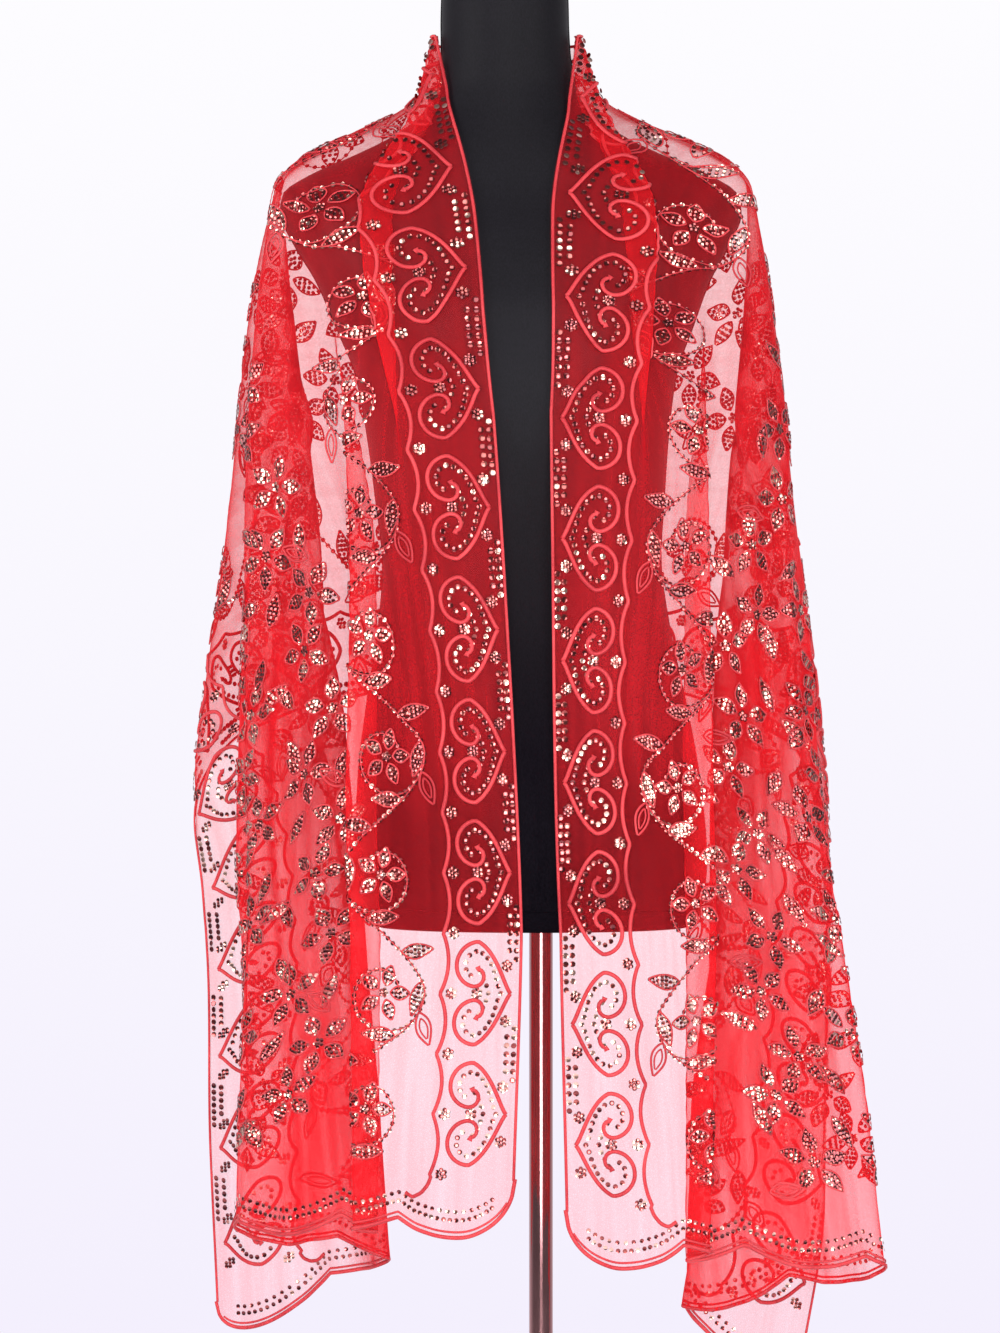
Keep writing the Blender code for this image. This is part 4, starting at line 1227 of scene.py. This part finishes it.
def round_tube(path, radius, sides, closed):
    """Points and faces of a round tube along a path in space."""
    path = np.asarray(path, float)
    along = np.gradient(path, axis=0)
    if closed:
        along = np.roll(path, -1, axis=0) - np.roll(path, 1, axis=0)
    along = along / np.linalg.norm(along, axis=1)[:, None]
    across = np.cross(along, [0.31, 0.17, 0.93])
    across = across / np.linalg.norm(across, axis=1)[:, None]
    above = np.cross(across, along)
    turns = 2.0 * math.pi * np.arange(sides) / sides
    ring = path[:, None, :] + radius * (
        np.cos(turns)[None, :, None] * across[:, None, :] + np.sin(turns)[None, :, None] * above[:, None, :]
    )
    return ring.reshape(-1, 3), ring_faces(len(path), sides, 0, closed, capped=False)


def build_seams(material):
    """The cover's seams: down both sides, down the back and round the form's foot."""
    points, faces = [], []
    low, high = FORM_SECTIONS[1][0], FORM_SECTIONS[-2][0]
    paths = []
    for turn in FORM_SEAMS:
        heights = np.linspace(low, high, 160)
        seam = [section_point(height, np.array([turn]), SEAM_SWELL)[0] for height in heights]
        paths.append((np.array(seam), False))
    round_the_form = np.linspace(0.0, 2.0 * math.pi, 120, endpoint=False)
    for height in FORM_RINGS:
        paths.append((section_point(height, round_the_form, SEAM_SWELL), True))
    for path, closed in paths:
        tube, squares = round_tube(path, SEAM_RADIUS, 6, closed)
        first = sum(len(part) for part in points)
        points.append(tube)
        faces += [tuple(first + corner for corner in square) for square in squares]
    seams = make_piece("form_seams", np.concatenate(points), faces, material)
    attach(seams, "root")


def turned_body(name, rows, sides, material):
    """A body of revolution about the pole's axis through rows of radius and height."""
    turns = 2.0 * math.pi * np.arange(sides) / sides
    points = [(r * math.cos(turn), r * math.sin(turn), z) for r, z in rows for turn in turns]
    body = make_piece(name, points, ring_faces(len(rows), sides), material)
    body.data.set_sharp_from_angle(angle=math.radians(40.0))
    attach(body, "root")
    return body


def build_stand(material):
    top = FORM_FOOT_HEIGHT + POLE_IN_FORM
    foot = turned_body("stand_foot", (
        (0.1480, 0.0), (0.1500, 0.0015), (0.1500, 0.0080), (0.1492, 0.0102),
        (0.1470, 0.0122), (0.1440, 0.0134), (0.0300, 0.0140),
    ), 128, material)
    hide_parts("stand_base")
    post = turned_body("stand_post", (
        (0.0200, 0.0143), (0.0200, 0.0265), (0.0192, 0.0285), (0.0180, 0.0295), (0.0165, 0.0330),
        (0.0128, 0.0520), (0.0105, 0.0590), (0.0095, 0.0593), (0.0095, top),
    ), 48, material)
    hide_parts("stand_pole")


def build_studio():
    scene = bpy.context.scene
    scene.view_settings.view_transform = "Standard"
    world = bpy.data.worlds.new("studio")
    scene.world = world
    world.use_nodes = True
    nodes, links = world.node_tree.nodes, world.node_tree.links
    backdrop = nodes["Background"]
    place = nodes.new("ShaderNodeTexCoord")
    split = nodes.new("ShaderNodeSeparateXYZ")
    links.new(place.outputs["Generated"], split.inputs["Vector"])
    # Painted shade: the backdrop is painted darker towards the bottom, where the studio light falls off.
    height = range_node(nodes, links, split.outputs["Z"], 0.0, 1.0, -0.16, 0.16)
    stops = ((0.0, (0.905, 0.868, 0.985)), (0.5, (0.945, 0.925, 0.992)), (1.0, (0.982, 0.973, 1.0)))
    links.new(colour_ramp(nodes, links, height, stops), backdrop.inputs["Color"])
    path = nodes.new("ShaderNodeLightPath")
    beyond_cloth = math_node(nodes, links, "MINIMUM", path.outputs["Transparent Depth"], 1.0)
    glare = range_node(nodes, links, beyond_cloth, 1.0, BACKDROP_GLARE, 0.0, 1.0)
    links.new(glare, backdrop.inputs["Strength"])
    fill = nodes.new("ShaderNodeBackground")
    fill.inputs["Color"].default_value = (0.96, 0.95, 1.0, 1.0)
    links.new(range_node(nodes, links, split.outputs["Y"], *WORLD_FILL, -0.2, 0.7), fill.inputs["Strength"])
    mix = nodes.new("ShaderNodeMixShader")
    links.new(path.outputs["Is Camera Ray"], mix.inputs["Fac"])
    links.new(fill.outputs[0], mix.inputs[1])
    links.new(backdrop.outputs[0], mix.inputs[2])
    links.new(mix.outputs[0], nodes["World Output"].inputs["Surface"])
    for name, place_at, aim, size, energy in LAMPS:
        lamp = bpy.data.lights.new(name, "AREA")
        lamp.shape = "SQUARE"
        lamp.size = size
        lamp.energy = energy
        thing = bpy.data.objects.new(name, lamp)
        thing.location = place_at
        direction = Vector(aim) - Vector(place_at)
        thing.rotation_mode = "QUATERNION"
        thing.rotation_quaternion = direction.to_track_quat("-Z", "Y")
        scene.collection.objects.link(thing)


def build_floor():
    material, nodes, links, shader = new_material("floor")
    cloud = noise_node(nodes, links, 3.0, 3.0)
    stops = ((0.3, (0.88, 0.87, 0.90)), (0.7, (0.91, 0.90, 0.93)))
    links.new(colour_ramp(nodes, links, cloud.outputs["Fac"], stops), shader.inputs["Base Color"])
    shader.inputs["Roughness"].default_value = 0.8
    bpy.ops.mesh.primitive_circle_add(vertices=96, radius=2.4, fill_type="NGON", location=(0.0, 0.0, 0.0))
    floor = bpy.context.object
    floor.name = "studio_floor"
    floor.data.materials.append(material)


def build_camera():
    camera = bpy.data.objects.new("camera", bpy.data.cameras.new("camera"))
    camera.data.lens = 108.0
    camera.data.sensor_width = 36.0
    camera.location = (-0.0328, -3.2, 1.027)
    camera.rotation_euler = (math.pi / 2.0, 0.0, 0.0)
    bpy.context.scene.collection.objects.link(camera)
    bpy.context.scene.camera = camera


def main():
    build_camera()
    build_studio()
    build_floor()
    sheet = HungSheet()
    net = build_net(sheet, net_material())
    pieces = build_embroidery(sheet, cord_material(), sequin_material())
    cover = form_material()
    build_form(cover)
    build_seams(cover)
    build_stand(chrome_material())


main()
